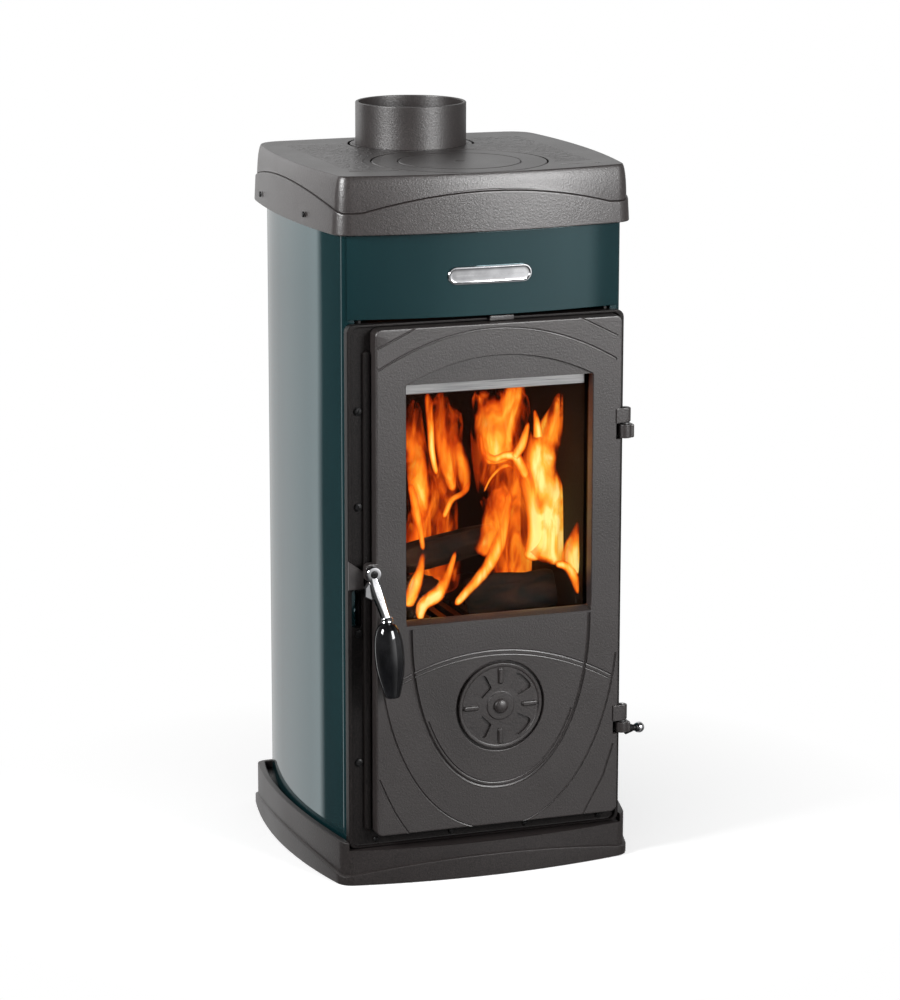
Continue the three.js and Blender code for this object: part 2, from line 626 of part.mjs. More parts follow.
function makeRosette() {
  const { x, z, radius, bore } = ROSETTE;
  const { rim, slope, hub, sunk } = ROSETTE_FIELD;
  const back = POCKET_FLOOR - GAP;
  const thick = back - ROSETTE_FACE;
  const profile = [
    [0, 0],
    [radius, 0],
    [radius, thick - slope],
    [radius - slope, thick],
    [radius - rim, thick],
    [radius - rim - slope, thick - sunk],
    [hub + slope, thick - sunk],
    [hub, thick],
    [0, thick],
  ];
  let disc = turnedFront(profile, x, back, z, FACETS.rosette);
  for (let i = 0; i < 4; i++) {
    const hole = rosetteWindow(Math.PI / 4 + (i * Math.PI) / 2, ROSETTE_WINDOW.half);
    disc = disc.subtract(prismY(hole, ROSETTE_FACE - PAST, back + PAST));
  }
  const { from, to, half, round, proud } = ROSETTE_RIB;
  const bar = prismY(roundedRect(from, to, -half, half, round), ROSETTE_FACE - proud, back - PAST);
  for (let i = 0; i < 4; i++) {
    disc = disc.add(bar.rotate([0, i * 90, 0]).translate([x, 0, z]));
  }
  disc = disc.subtract(rodY(bore, x, z, ROSETTE_FACE - PAST, back + PAST));
  piece('air_rosette', disc, castIron);

  const headBack = ROSETTE_FACE - GAP;
  const shank = DOOR.back - headBack - GAP;
  const screw = [[0, -shank], [ROSETTE_SCREW_SHANK, -shank], [ROSETTE_SCREW_SHANK, 0], ...ROSETTE_SCREW_HEAD];
  piece('rosette_screw', turnedFront(screw, x, headBack, z, FACETS.lug), castIron);
}

// ---------------------------------------------------------------- handle

function makeHandle() {
  const { x, z, pin, bore } = PIVOT;
  const { back, front, eye: eyeRadius, armHalf, armDeep, steps } = LEVER;
  const base = -CLEAR;
  const neck = base - back - CLEAR;
  const tip = base - front + CLEAR;
  const pinProfile = [[0, 0], [pin, 0], [pin, neck], [pin, tip - 1], [pin * 0.6, tip], [0, tip + GAP]];
  piece('handle_pivot_pin', turnedFront(pinProfile, x, base, z, FACETS.pin), blackSteel);

  // The lever: an eye, a prong towards the catch and an arm that swings outwards to the grip.
  const eye = rodY(eyeRadius, x, z, front, back, FACETS.head);
  const prongShape = new THREE.Shape(PRONG.map(([right, up]) => new THREE.Vector2(x + right, z + up)));
  const prong = prismY(prongShape, back - PRONG_THICK, back);
  const end = new THREE.Vector3(...COLLAR_POINT);
  const arm = new THREE.CatmullRomCurve3([
    new THREE.Vector3(x, (front + back) / 2, z),
    new THREE.Vector3(x + LEVER_BEND.right, front + 1, z - LEVER_BEND.down),
    end,
  ]);
  const section = new THREE.Shape();
  section.absellipse(0, 0, armHalf, armDeep, 0, Math.PI * 2);
  const armGeometry = new THREE.ExtrudeGeometry(section, { steps, extrudePath: arm, curveSegments: 6 });
  const hole = rodY(bore, x, z, front - armDeep, back + PAST);
  const ring = aligned(turned(GRIP_RING, FACETS.head), end);
  const lever = joined([eye, prong, toSolid(armGeometry).subtract(hole), ring]).subtract(hole);
  piece('handle_lever', lever, chrome);

  // A barrel grip that starts below the lever's ring.
  const length = GRIP_BARREL.at(-1)[1];
  const barrel = [[0, 0], ...GRIP_BARREL, [0, length]];
  const downwards = barrel.map(([radius, along]) => [radius, -along - GRIP_START - GAP]).reverse();
  piece('handle_grip', aligned(turned(downwards, FACETS.lug), end), blackGloss);
}

// Tilts a turned piece to the lean of the grip and moves it to a point.
function aligned(geometry, point) {
  geometry.rotateX(Math.PI / 2);
  geometry.rotateX(-GRIP_TILT_OUT);
  geometry.rotateY(-GRIP_TILT_SIDE);
  geometry.translate(point.x, point.y, point.z);
  return toSolid(geometry);
}

// ---------------------------------------------------------------- hinges

function makeHinge(name, { low, split, high }) {
  const { x, y, doorKnuckle, frameKnuckle, lugOut, lugFront, pin, bore, leaf: overlap } = HINGE;
  const lowTop = split - HINGE_SHOULDER;
  const highBottom = split + HINGE_SHOULDER;
  const hole = rodZ(bore, x, y, low - PAST, high + PAST, FACETS.pin);
  const arm = block(FRAME.half + GAP, x + lugOut, y - lugFront, FRAME.depth - 1, low, lowTop);
  const frameLug = rodZ(frameKnuckle, x, y, low, lowTop, FACETS.lug).add(arm).subtract(hole);
  piece(`frame_hinge_lug_${name}`, frameLug, castIron);
  const leaf = block(DOOR.right - overlap, x - 1, DOOR.front - 2, DOOR.front - GAP, highBottom, high);
  const doorLug = rodZ(doorKnuckle, x, y, highBottom, high, FACETS.lug).add(leaf).subtract(hole);
  piece(`door_hinge_lug_${name}`, doorLug, castIron);
  const shoulder = doorKnuckle - 1;
  const profile = [
    [0, low - 1],
    [pin, low - 1],
    [pin, lowTop + GAP],
    [shoulder, lowTop + GAP],
    [shoulder, highBottom - GAP],
    [pin, highBottom - GAP],
    [pin, high],
    [pin * 0.6, high + 1],
    [0, high + 1],
  ];
  piece(`hinge_pin_${name}`, turnedZ(profile, x, y, FACETS.pin), steel);
}

// ---------------------------------------------------------------- lid, hot plate and collar

// How far out the lid's side lies at a depth y.
function lidSide(y) {
  const share = (y - (LID.front + LID.back) / 2) / ((LID.back - LID.front) / 2);
  return LID.half + LID.bowSide * (1 - share ** 2);
}

function makeLid() {
  // The extrusion narrows towards both ends; its lower end is cut off below.
  const { lean, height, steps } = LID_DRAFT;
  const upper = new THREE.ExtrudeGeometry(bowedOutline(LID, LID_INSET), {
    depth: 1,
    bevelEnabled: true,
    bevelThickness: height,
    bevelSize: lean,
    bevelOffset: -lean,
    bevelSegments: steps,
    curveSegments: FACETS.plan,
  });
  upper.translate(0, 0, LID_TOP - height - 1);
  const band = archedBand(LID, LID_BOTTOM, LID_BAND);
  const inside = bowedOutline(LID, LID_WALL + LID_INSET + 1);
  const cavity = prismZ(inside, LID_BOTTOM - PAST, LID_TOP - LID_PLATE, FACETS.plan);
  const over = LID_TOP + PAST;
  const plateHole = rodZ(HOT.ledge, 0, HOT.y, LID_BOTTOM, over, FACETS.plate);
  const plateSeat = rodZ(HOT.radius, 0, HOT.y, LID_TOP - HOT.thick, over, FACETS.plate);
  const flueHole = rodZ(COLLAR.outer + CLEAR, 0, COLLAR.y, LID_BOTTOM, over, FACETS.plate);
  const slotShape = ringSegment(0, COLLAR.y, SLOT.inner, SLOT.outer, SLOT.from, SLOT.to);
  const slot = prismZ(slotShape, LID_TOP - SLOT.deep, over);
  const slots = slot.add(slot.mirror([1, 0, 0]));
  const above = prismZ(bowedOutline(LID), LID_BOTTOM + 2, over, FACETS.plan);
  const lid = toSolid(upper).intersect(above).add(band).subtract(cavity);
  piece('top_lid', lid.subtract(plateHole).subtract(plateSeat).subtract(flueHole).subtract(slots), castIron);

  // Two screws on each side hold the lid's skirt.
  const { depths, up, radius, head, off } = LID_SCREW;
  for (const side of [-1, 1]) {
    ['front', 'back'].forEach((place, i) => {
      const y = depths[i];
      const x = lidSide(y) + off;
      const screw = rodX(radius, y, LID_BOTTOM + up, 0, head, FACETS.plan);
      const out = side < 0 ? -x - head : x;
      piece(`lid_screw_${side < 0 ? 'left' : 'right'}_${place}`, screw.translate([out, 0, 0]), blackSteel);
    });
  }
}

function makeHotPlate() {
  // The ring rests on the lid's ledge and has a ledge of its own for the disc.
  const over = LID_TOP + PAST;
  const bottom = LID_TOP - HOT.thick + GAP;
  const ring = rodZ(HOT.radius - HOT.play, 0, HOT.y, bottom, LID_TOP, FACETS.plate)
    .subtract(rodZ(DISC.ledge, 0, HOT.y, bottom - PAST, over, FACETS.rosette))
    .subtract(rodZ(DISC.radius, 0, HOT.y, LID_TOP - DISC.thick, over, FACETS.plate));
  piece('hot_plate_ring', ring, castIron);
  const discBottom = LID_TOP - DISC.thick + GAP;
  const edge = DISC.radius - HOT.play;
  const sunk = LID_TOP - DISC.dimpleDeep;
  const { dimple } = DISC;
  const disc = [
    [0, discBottom],
    [edge, discBottom],
    [edge, LID_TOP],
    [dimple, LID_TOP],
    [dimple - 2, sunk],
    [0, sunk],
  ];
  piece('hot_plate_disc', turnedZ(disc, 0, HOT.y, FACETS.plate), castIron);
}

// A socket for the flue pipe that passes through the lid and stands on the firebox.
function makeCollar() {
  const { inner, outer, top, edge } = COLLAR;
  const foot = BOX.top + GAP;
  const section = [
    [inner, foot],
    [outer, foot],
    [outer, top - edge],
    [outer - edge, top],
    [inner + edge, top],
    [inner, top - edge],
    [inner, foot],
  ];
  piece('flue_collar', turnedZ(section, 0, COLLAR.y, FACETS.plate), castIron);
}

// ---------------------------------------------------------------- firebox

function makeFirebox() {
  const { half, wall, front, back, bottom, floor, top } = BOX;
  const opened = front - PAST;
  const outside = block(-half, half, front, back, bottom, top);
  const inside = block(-half + wall, half - wall, opened, back - wall, floor, top - wall);
  const underneath = block(-half + wall, half - wall, opened, back - wall, bottom - PAST, floor - wall);
  const flue = rodZ(COLLAR.inner, 0, COLLAR.y, top - wall - PAST, top + PAST, FACETS.plate);
  const airHole = rodX(ROD.hole, ROD.y, ROD.z, half - wall - PAST, half + PAST);
  const shell = outside.subtract(inside).subtract(underneath).subtract(flue).subtract(airHole);
  piece('firebox_shell', shell, blackSteel);

  const inner = half - wall - GAP;
  const rear = back - wall - GAP;
  makeGrate(inner, front + HEARTH.front, rear);

  const lowest = HEARTH.top + GAP;
  const brickFront = front + BRICK.front;
  const between = inner - BRICK.thick - GAP;
  const left = block(-inner, BRICK.thick - inner, brickFront, rear, lowest, BRICK.top);
  const right = block(inner - BRICK.thick, inner, brickFront, rear, lowest, BRICK.top);
  piece('liner_left', left, firebrick);
  piece('liner_right', right, firebrick);
  piece('liner_back', block(-between, between, rear - BRICK.thick, rear, lowest, BRICK.top), firebrick);
  const side = inner - BAFFLE.play;
  const baffle = BRICK.top + GAP;
  piece('baffle_plate', block(-side, side, BAFFLE.front, rear, baffle, baffle + BAFFLE.thick), firebrick);

  const tub = block(PAN.left, PAN.right, PAN.front, PAN.back, PAN.bottom, PAN.top);
  const hollow = block(
    PAN.left + PAN.wall, PAN.right - PAN.wall,
    PAN.front + PAN.wall, PAN.back - PAN.wall,
    PAN.bottom + PAN.wall, PAN.top + PAST,
  );
  piece('ash_pan', tub.subtract(hollow), steel);
}

// The hearth plate that carries the fire, and the grate sunk in it over the ash pan.
function makeGrate(inner, front, rear) {
  const { left, right, ledge, sunk } = GRATE;
  const seat = HEARTH.bottom + sunk;
  const hole = block(
    left + ledge, right - ledge,
    GRATE.front + ledge, GRATE.back - ledge,
    HEARTH.bottom - PAST, HEARTH.top,
  );
  const rest = block(left - GAP, right + GAP, GRATE.front - GAP, GRATE.back + GAP, seat, HEARTH.top + PAST);
  const hearth = block(-inner, inner, front, rear, HEARTH.bottom, HEARTH.top);
  piece('hearth_plate', hearth.subtract(rest).subtract(hole), castIron);

  let grate = block(left, right, GRATE.front, GRATE.back, seat + GAP, HEARTH.top);
  const { count, wide, end, edge } = GRATE_SLITS;
  const pitch = (right - left - 2 * edge) / count;
  for (let i = 0; i < count; i++) {
    const x = left + edge + pitch * (i + 0.5) - wide / 2;
    const cut = block(x, x + wide, GRATE.front + end, GRATE.back - end, seat - PAST, HEARTH.top + PAST);
    grate = grate.subtract(cut);
  }
  piece('grate', grate, castIron);
}

// A split log that lies from one point to another.
function makeLog(name, { from, to, radius }) {
  const start = new THREE.Vector3(...from);
  const direction = new THREE.Vector3(...to).sub(start);
  const length = direction.length();
  const profile = [
    [0, 0],
    [radius, 0],
    [radius * LOG.belly, length * 0.4],
    [radius * LOG.tip, length],
    [0, length],
  ];
  const geometry = turned(profile, LOG.sides);
  const upwards = new THREE.Vector3(0, 1, 0);
  geometry.applyQuaternion(new THREE.Quaternion().setFromUnitVectors(upwards, direction.normalize()));
  geometry.translate(start.x, start.y, start.z);
  piece(name, toSolid(geometry), bark);
}

// ---------------------------------------------------------------- air controls

function makeAirControls() {
  const { y, z, radius, valve, valveThick, ball, ballX } = ROD;
  // Its valve plate closes a hole in the firebox wall from the inside; pushing the rod in opens it.
  const seat = BOX.half - BOX.wall - GAP;
  const neck = ballX - ball * 0.8;
  const along = [
    [0, seat - valveThick],
    [valve, seat - valveThick],
    [valve, seat],
    [radius, seat],
    [radius, neck],
    [0, neck],
  ];
  const rod = turned(along, FACETS.pin);
  rod.rotateZ(-Math.PI / 2);
  rod.translate(0, y, z);
  piece('side_air_rod', toSolid(rod), blackSteel);
  const knob = new THREE.SphereGeometry(ball, FACETS.head, FACETS.plan);
  knob.translate(ballX, y, z);
  const socket = rodX(radius + CLEAR, y, z, ballX - ball - PAST, neck + GAP);
  piece('side_air_rod_ball', toSolid(knob).subtract(socket), chrome);

  const { left, right, bottom, top, front, back, tongue, inset } = SLIDER;
  const tab = block(left, right, front, -GAP, bottom, top);
  const shelf = block(left + inset, right - inset, front + 1, back, top - tongue, top);
  piece('air_slider', tab.add(shelf), castIron);
}

// ---------------------------------------------------------------- assembly

makeBase();
makeSidePanel('left_side_panel', -1);
makeSidePanel('right_side_panel', 1);
makeUpperPanel();
makeRearShield();
makeFrame();
makeDoor();
makeDoorFittings();
makeRosette();
makeHandle();
makeHinge('upper', HINGES.upper);
makeHinge('lower', HINGES.lower);
makeLid();
makeHotPlate();
makeCollar();
makeFirebox();
for (const [name, log] of Object.entries(LOGS)) {
  makeLog(name, log);
}
makeAirControls();

export default stove;
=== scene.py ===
# %% [markdown]
# # An enamelled wood stove
# The stove was drawn as solids first, and those solids are the fixed frame here: nothing in this
# lesson moves them. We look at each real piece, decide how it would be made by hand in Blender,
# and either give the solid a better finish or model a finer piece that stands in its place.
# The sizes of the pieces are in millimetres, with x to the right, z up, and y measured backwards
# from the face of the front frame; `at` turns such a point into Blender's metres. The camera, the
# lamps and the shader nodes are set in metres.

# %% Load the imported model
import json
import math

import bmesh
import bpy
from mathutils import Matrix, Vector
from mathutils.kdtree import KDTree


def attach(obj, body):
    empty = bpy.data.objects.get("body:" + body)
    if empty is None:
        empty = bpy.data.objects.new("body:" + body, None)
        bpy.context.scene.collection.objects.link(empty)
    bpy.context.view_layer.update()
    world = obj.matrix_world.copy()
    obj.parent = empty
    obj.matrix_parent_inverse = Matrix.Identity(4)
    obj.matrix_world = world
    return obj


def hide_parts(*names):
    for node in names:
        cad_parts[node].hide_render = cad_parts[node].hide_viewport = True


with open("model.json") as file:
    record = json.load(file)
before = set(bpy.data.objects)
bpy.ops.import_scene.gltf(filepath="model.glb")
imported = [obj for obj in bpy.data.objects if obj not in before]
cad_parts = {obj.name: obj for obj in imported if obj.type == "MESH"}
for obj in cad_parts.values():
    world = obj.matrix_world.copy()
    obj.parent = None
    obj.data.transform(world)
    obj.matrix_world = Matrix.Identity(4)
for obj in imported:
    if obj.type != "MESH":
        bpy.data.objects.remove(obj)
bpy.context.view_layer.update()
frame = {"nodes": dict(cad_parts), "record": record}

# %% Millimetres from the frame's face
MM = 0.001
FACE_Y = -147.0


def at(x, y, z):
    return Vector((x, y + FACE_Y, z)) * MM


print("the frame's face lies at y =", at(0, 0, 0).y)

# %% [markdown]
# ## Camera
# The picture was taken from a little to the left and a little above, from about four metres
# away with a long lens, which keeps the uprights upright. The camera is placed on a line from
# the point it looks at: so many degrees round, so many degrees up, so far out.

# %% Place the camera
AZIMUTH, ELEVATION, ROLL = math.radians(-19.68), math.radians(12.86), math.radians(0.096)
DISTANCE, LENS = 4.0436, 129.46
LOOK_AT = at(-44.04, 0, 440.41)

back = Vector((
    math.sin(AZIMUTH) * math.cos(ELEVATION),
    -math.cos(AZIMUTH) * math.cos(ELEVATION),
    math.sin(ELEVATION),
))
level = Vector((math.cos(AZIMUTH), math.sin(AZIMUTH), 0))
across = level * math.cos(ROLL) + back.cross(level) * math.sin(ROLL)
camera = bpy.data.objects.new("camera", bpy.data.cameras.new("camera"))
bpy.context.scene.collection.objects.link(camera)
camera.data.lens = LENS
camera.data.sensor_width = 36
turned = Matrix((across, back.cross(across), back)).transposed().to_4x4()
camera.matrix_world = Matrix.Translation(LOOK_AT + back * DISTANCE) @ turned
bpy.context.scene.camera = camera
bpy.context.scene.view_settings.view_transform = "Standard"
print("camera at", tuple(round(value, 3) for value in camera.matrix_world.translation))

# %% [markdown]
# ## Light and floor
# The stove stood in a white studio. Enamel and chrome show the room more than they show
# themselves, so the room matters: bright behind and to the right, dark beside the camera on the
# left. A ramp round the horizon paints that room; in front of the stove it is brightest a little
# above the horizon. Only glossy and transmitted rays see it: rays from the camera see plain
# white, and diffuse light comes evenly from all round.

# %% Helpers for materials
def add(tree, kind, **values):
    """A shader node, with its settings and the values of its sockets."""
    made = tree.nodes.new("ShaderNode" + kind)
    for key, value in values.items():
        if hasattr(made, key):
            setattr(made, key, value)
        else:
            made.inputs[key.replace("_", " ")].default_value = value
    return made


def fed(tree, kind, *sources, **values):
    """A shader node whose first sockets take sources, which are sockets or numbers; its output."""
    made = add(tree, kind, **values)
    for socket, source in zip(made.inputs, sources):
        if isinstance(source, bpy.types.NodeSocket):
            tree.links.new(socket, source)
        else:
            socket.default_value = source
    return made.outputs[0]


def worked(tree, operation, *sources):
    """One sum: the operation on its sources."""
    return fed(tree, "Math", *sources, operation=operation)


def mapped(tree, source, low, high, at_low=0, at_high=1):
    """Source carried from the range low to high to the range at_low to at_high."""
    return fed(tree, "MapRange", source, low, high, at_low, at_high)


def mixed(tree, low, high, factor):
    """Colour low where factor is 0, high where it is 1."""
    made = add(tree, "Mix", data_type="RGBA")
    for socket, value in (("A", low), ("B", high), ("Factor", factor)):
        if isinstance(value, bpy.types.NodeSocket):
            tree.links.new(made.inputs[socket], value)
        else:
            made.inputs[socket].default_value = (*value, 1)
    return made.outputs["Result"]


def ramp(tree, source, stops):
    """The colours of a ramp fed by source, with stops of (position, colour)."""
    made = add(tree, "ValToRGB")
    steps = made.color_ramp.elements
    while len(steps) < len(stops):
        steps.new(0.5)
    for step, (position, colour) in zip(steps, stops):
        step.position = position
        step.color = (*colour, 1)
    tree.links.new(made.inputs["Fac"], source)
    return made.outputs["Color"]


def grey(value):
    return (value, value, value)


print("helpers ready")

# %% Paint the room
ROOM = [(-180, 0.7), (-172, 0.8), (-160, 1.1), (-150, 1.3), (-144.5, 1.6), (-142.5, 0.10), (-90, 0.06),
        (-12, 0.07), (8, 0.30), (20, 0.62), (36, 0.95), (41, 0.9), (44, 0.25), (110, 0.15), (150, 0.5),
        (180, 0.7)]
EVEN_LIGHT = 0.26
world = bpy.data.worlds.new("studio")
bpy.context.scene.world = world
world.use_nodes = True
room = world.node_tree
direction = add(room, "SeparateXYZ")
room.links.new(direction.inputs[0], add(room, "TexCoord").outputs["Generated"])
east, north, up = direction.outputs
bearing = worked(room, "ARCTAN2", east, worked(room, "MULTIPLY", north, -1))
horizon = ramp(room, mapped(room, bearing, -math.pi, math.pi),
               [((degrees + 180) / 360, grey(value)) for degrees, value in ROOM])
below, above = mapped(room, up, -0.33, -0.02, 0.3, 1.6), mapped(room, up, 0.35, 0.6, 1, 0.12)
in_front = worked(room, "MULTIPLY", below, above)
brightness = worked(room, "MAXIMUM", in_front, mapped(room, north, -0.1, 0.35))
painted = add(room, "VectorMath", operation="SCALE")
room.links.new(painted.inputs[0], horizon)
room.links.new(painted.inputs["Scale"], brightness)
rays = add(room, "LightPath").outputs
sees_room = worked(room, "MAXIMUM", rays["Is Glossy Ray"], rays["Is Transmission Ray"])
soft = mixed(room, grey(EVEN_LIGHT), painted.outputs[0], sees_room)
room.links.new(room.nodes["Background"].inputs["Color"], mixed(room, soft, grey(1), rays["Is Camera Ray"]))
print("room painted with", len(ROOM), "stops")


# %% Hang two soft lamps
def soft_lamp(name, place, aim, size, watts):
    """A square area lamp that faces the point aim."""
    lamp = bpy.data.objects.new(name, bpy.data.lights.new(name, "AREA"))
    bpy.context.scene.collection.objects.link(lamp)
    lamp.data.size = size
    lamp.data.energy = watts
    lamp.location = place
    lamp.rotation_euler = (Vector(aim) - Vector(place)).to_track_quat("-Z", "Y").to_euler()


STOVE_MIDDLE = (0, 0, 0.6)
soft_lamp("key_left", (-1.95, -0.6, 1.35), STOVE_MIDDLE, 0.7, 46)
soft_lamp("key_right", (0.92, -1.82, 1.2), STOVE_MIDDLE, 0.8, 36)

# %% [markdown]
# The floor is a pale sheet that keeps the stove's soft shadow and clears to white farther out.
# Glossy rays pass through it, so the enamel reflects the painted room down to its foot.

# %% Lay the floor
bpy.ops.mesh.primitive_circle_add(vertices=64, radius=6, fill_type="NGON", location=(0, 0, -0.0004))
floor = bpy.context.object
floor.name = "floor"
paper = bpy.data.materials.new("floor_paper")
paper.use_nodes = True
tree = paper.node_tree
sheet = tree.nodes["Principled BSDF"]
sheet.inputs["Base Color"].default_value = (0.8, 0.8, 0.8, 1)
sheet.inputs["Roughness"].default_value = 1
sheet = sheet.outputs[0]
rays = add(tree, "LightPath").outputs
spread = add(tree, "VectorMath", operation="LENGTH")
tree.links.new(spread.inputs[0], add(tree, "TexCoord").outputs["Object"])
away = mapped(tree, spread.outputs["Value"], 0.22, 0.62)
lifted = fed(tree, "AddShader", sheet, add(tree, "Emission", Strength=0.42).outputs[0])
cleared = fed(tree, "MixShader", away, lifted, add(tree, "Emission", Strength=1).outputs[0])
pictured = fed(tree, "MixShader", rays["Is Camera Ray"], sheet, cleared)
passed = fed(tree, "MixShader", rays["Is Glossy Ray"], pictured, add(tree, "BsdfTransparent").outputs[0])
tree.links.new(tree.nodes["Material Output"].inputs["Surface"], passed)
floor.data.materials.append(paper)
print("floor laid")

# %% [markdown]
# ## Finishes
# Each finish starts from one shader. What is even over the whole surface is set on the shader
# itself; what varies, such as the grain of the casting, comes from noise in object coordinates,
# so it stays with the piece.

# %% Helpers for finishes
def finish(name, roughness, metallic=0.0, **sockets):
    """A material with its even values set, and its shader."""
    material = bpy.data.materials.new(name)
    material.use_nodes = True
    shader = material.node_tree.nodes["Principled BSDF"]
    shader.inputs["Roughness"].default_value = roughness
    shader.inputs["Metallic"].default_value = metallic
    for socket, value in sockets.items():
        shader.inputs[socket.replace("_", " ")].default_value = value
    return material, shader


def noise(material, scale, detail=3.0, stretch=(1, 1, 1), distortion=0.0):
    """Noise in object coordinates; scale is in waves to the metre."""
    tree = material.node_tree
    place = add(tree, "Mapping", Scale=stretch)
    tree.links.new(place.inputs["Vector"], add(tree, "TexCoord").outputs["Object"])
    made = add(tree, "TexNoise", Scale=scale, Detail=detail, Distortion=distortion)
    tree.links.new(made.inputs["Vector"], place.outputs["Vector"])
    return made.outputs["Fac"]


def relief(material, shader, height, depth, strength=1.0, under=None):
    """Bump from height, depth millimetres deep; under is a bump below it."""
    tree = material.node_tree
    made = add(tree, "Bump", Strength=strength, Distance=depth * MM)
    tree.links.new(made.inputs["Height"], height)
    if under is not None:
        tree.links.new(made.inputs["Normal"], under.outputs["Normal"])
    tree.links.new(shader.inputs["Normal"], made.outputs["Normal"])
    return made


def varied(material, shader, source, dark, light, low=0.35, high=0.65):
    """Base colour from dark to light as source goes from low to high."""
    tree = material.node_tree
    tree.links.new(shader.inputs["Base Color"], ramp(tree, source, [(low, dark), (high, light)]))


def worn(material, shader, source, smooth, rough):
    """Roughness that follows source."""
    tree = material.node_tree
    tree.links.new(shader.inputs["Roughness"], mapped(tree, source, 0, 1, smooth, rough))


print("finish helpers ready")

# %% [markdown]
# ### Cast iron
# Plates cast in sand and sprayed with heat-proof paint: a warm dark grey, satin, with a fine
# even grain about a millimetre across. Three noises make it: one for the grain, which tints and
# lifts the surface, one twice as coarse for the skin that the sand leaves, and a slow one for
# the cloudy spray. The foot is a little duller, and the frame behind the door, which gets no
# hand or cloth, is nearly matt; its colour is also painted much darker, as painted shade for
# the channel that the door's edge shadows.

# %% Mix the cast iron
def cast_iron_finish(name, dark, light, gloss, shine):
    """A painted casting, its grain between two colours; with it, its shader and its last bump."""
    material, shader = finish(name, gloss, Specular_IOR_Level=shine)
    tree = material.node_tree
    grain = noise(material, 820, detail=2.5)
    cloud = noise(material, 14, detail=3)
    speckled = ramp(tree, grain, [(0.34, dark), (0.68, light)])
    clouded = ramp(tree, cloud, [(0.25, grey(0.72)), (0.7, grey(1))])
    sooty = tuple(value * 0.86 for value in dark)
    tree.links.new(shader.inputs["Base Color"], mixed(tree, sooty, speckled, clouded))
    worn(material, shader, cloud, gloss - 0.05, gloss + 0.07)
    sand_skin = relief(material, shader, noise(material, 430, detail=2), 0.22, 0.9)
    return material, shader, relief(material, shader, grain, 0.16, 0.85, under=sand_skin)


cast_iron = cast_iron_finish("cast_iron", (0.013, 0.0105, 0.0102), (0.042, 0.034, 0.033), 0.40, 0.95)[0]
foot_iron = cast_iron_finish("cast_iron_foot", (0.010, 0.008, 0.0078), (0.034, 0.027, 0.026), 0.43, 0.6)[0]
# The frame's iron is mixed about three times darker than the other iron: painted shade for the channel
# behind the door.
shaded_matt_iron = cast_iron_finish("cast_iron_matt_painted_shade", (0.004, 0.0032, 0.0031), (0.016, 0.0125, 0.012), 0.5, 0.22)[0]
print("mixed", cast_iron.name, foot_iron.name, shaded_matt_iron.name)

# %% [markdown]
# The lid's top carries a pebbled relief everywhere but on a border and round the hot plate. A
# mask worked out from the place on the lid keeps the coarse bump inside that field. The lid's
# iron is also mixed a little lighter than the rest, as painted light for the brighter lid.

# %% Pebble the lid's top
LID_TOP, HOT_Y = 810, 93.5
# Its grain colours are lighter than the other iron's: painted light for the lid's brighter front.
lid_iron_painted_light, shader, lid_grain = cast_iron_finish(
    "cast_iron_lid_painted_light", (0.014, 0.0113, 0.011), (0.048, 0.039, 0.038), 0.38, 1.0)
tree = lid_iron_painted_light.node_tree
spot = add(tree, "TexCoord").outputs["Object"]
parts = add(tree, "SeparateXYZ")
from_plate = add(tree, "VectorMath", operation="DISTANCE")
from_plate.inputs[1].default_value = at(0, HOT_Y, LID_TOP)
for node in (parts, from_plate):
    tree.links.new(node.inputs[0], spot)
x, y, z = parts.outputs
pebbles = ramp(tree, noise(lid_iron_painted_light, 150, detail=2, distortion=0.6), [(0.42, grey(0)), (0.56, grey(1))])
for source, outside, inside in (
        (worked(tree, "ABSOLUTE", x), 0.146, 0.142), (y, -0.094, -0.090), (y, 0.142, 0.138),
        (from_plate.outputs["Value"], 0.106, 0.110), (z, 0.8088, 0.8096)):
    pebbles = worked(tree, "MULTIPLY", pebbles, mapped(tree, source, outside, inside))
relief(lid_iron_painted_light, shader, pebbles, 1.0, 1.0, under=lid_grain)
print("pebbled", lid_iron_painted_light.name)

# %% [markdown]
# ### Enamel
# Glass fused on sheet steel: deep teal, wet-looking, and never quite flat. The body colour
# barely varies; a very slow ripple and a faint orange peel bend the reflections.

# %% Mix the enamel
enamel, shader = finish("green_enamel", 0.045, IOR=1.5, Specular_IOR_Level=0.85,
                        Specular_Tint=(0.70, 0.94, 1.0, 1))
body = noise(enamel, 9, detail=2, stretch=(1, 1, 0.35))
varied(enamel, shader, body, (0.0036, 0.018, 0.021), (0.0056, 0.024, 0.027), 0.3, 0.7)
ripple = relief(enamel, shader, noise(enamel, 7, detail=1, stretch=(1, 1, 0.45)), 0.9, 0.5)
relief(enamel, shader, noise(enamel, 330, detail=1), 0.012, 0.5, under=ripple)
print("mixed", enamel.name)

# %% [markdown]
# ### Metals, resin, glass, rope, brick and wood
# Chrome is nearly a mirror with the faintest clouding. The bare strip is brushed along its
# length. Screws are blued steel. The grip is black pressed resin, as glossy as lacquer. The
# seal is plaited glass rope. The bricks are buff but mixed nearly black: soot from the fire,
# and painted shade for the dark inside of the firebox.

# %% Mix the metals and the grip's resin
chrome, shader = finish("chrome", 0.07, metallic=1)
cloudy = noise(chrome, 60, detail=3)
varied(chrome, shader, cloudy, (0.72, 0.72, 0.74), (0.9, 0.9, 0.92))
worn(chrome, shader, cloudy, 0.05, 0.12)

bare_steel, shader = finish("bare_steel", 0.3, metallic=1)
brushed = noise(bare_steel, 900, detail=2, stretch=(0.02, 1, 1))
varied(bare_steel, shader, brushed, (0.32, 0.32, 0.325), (0.49, 0.485, 0.48))
worn(bare_steel, shader, brushed, 0.22, 0.38)

black_steel, shader = finish("black_steel", 0.42, metallic=0.7)
blued = noise(black_steel, 420, detail=3)
varied(black_steel, shader, blued, (0.012, 0.012, 0.013), (0.032, 0.031, 0.031))
relief(black_steel, shader, blued, 0.05, 0.6)

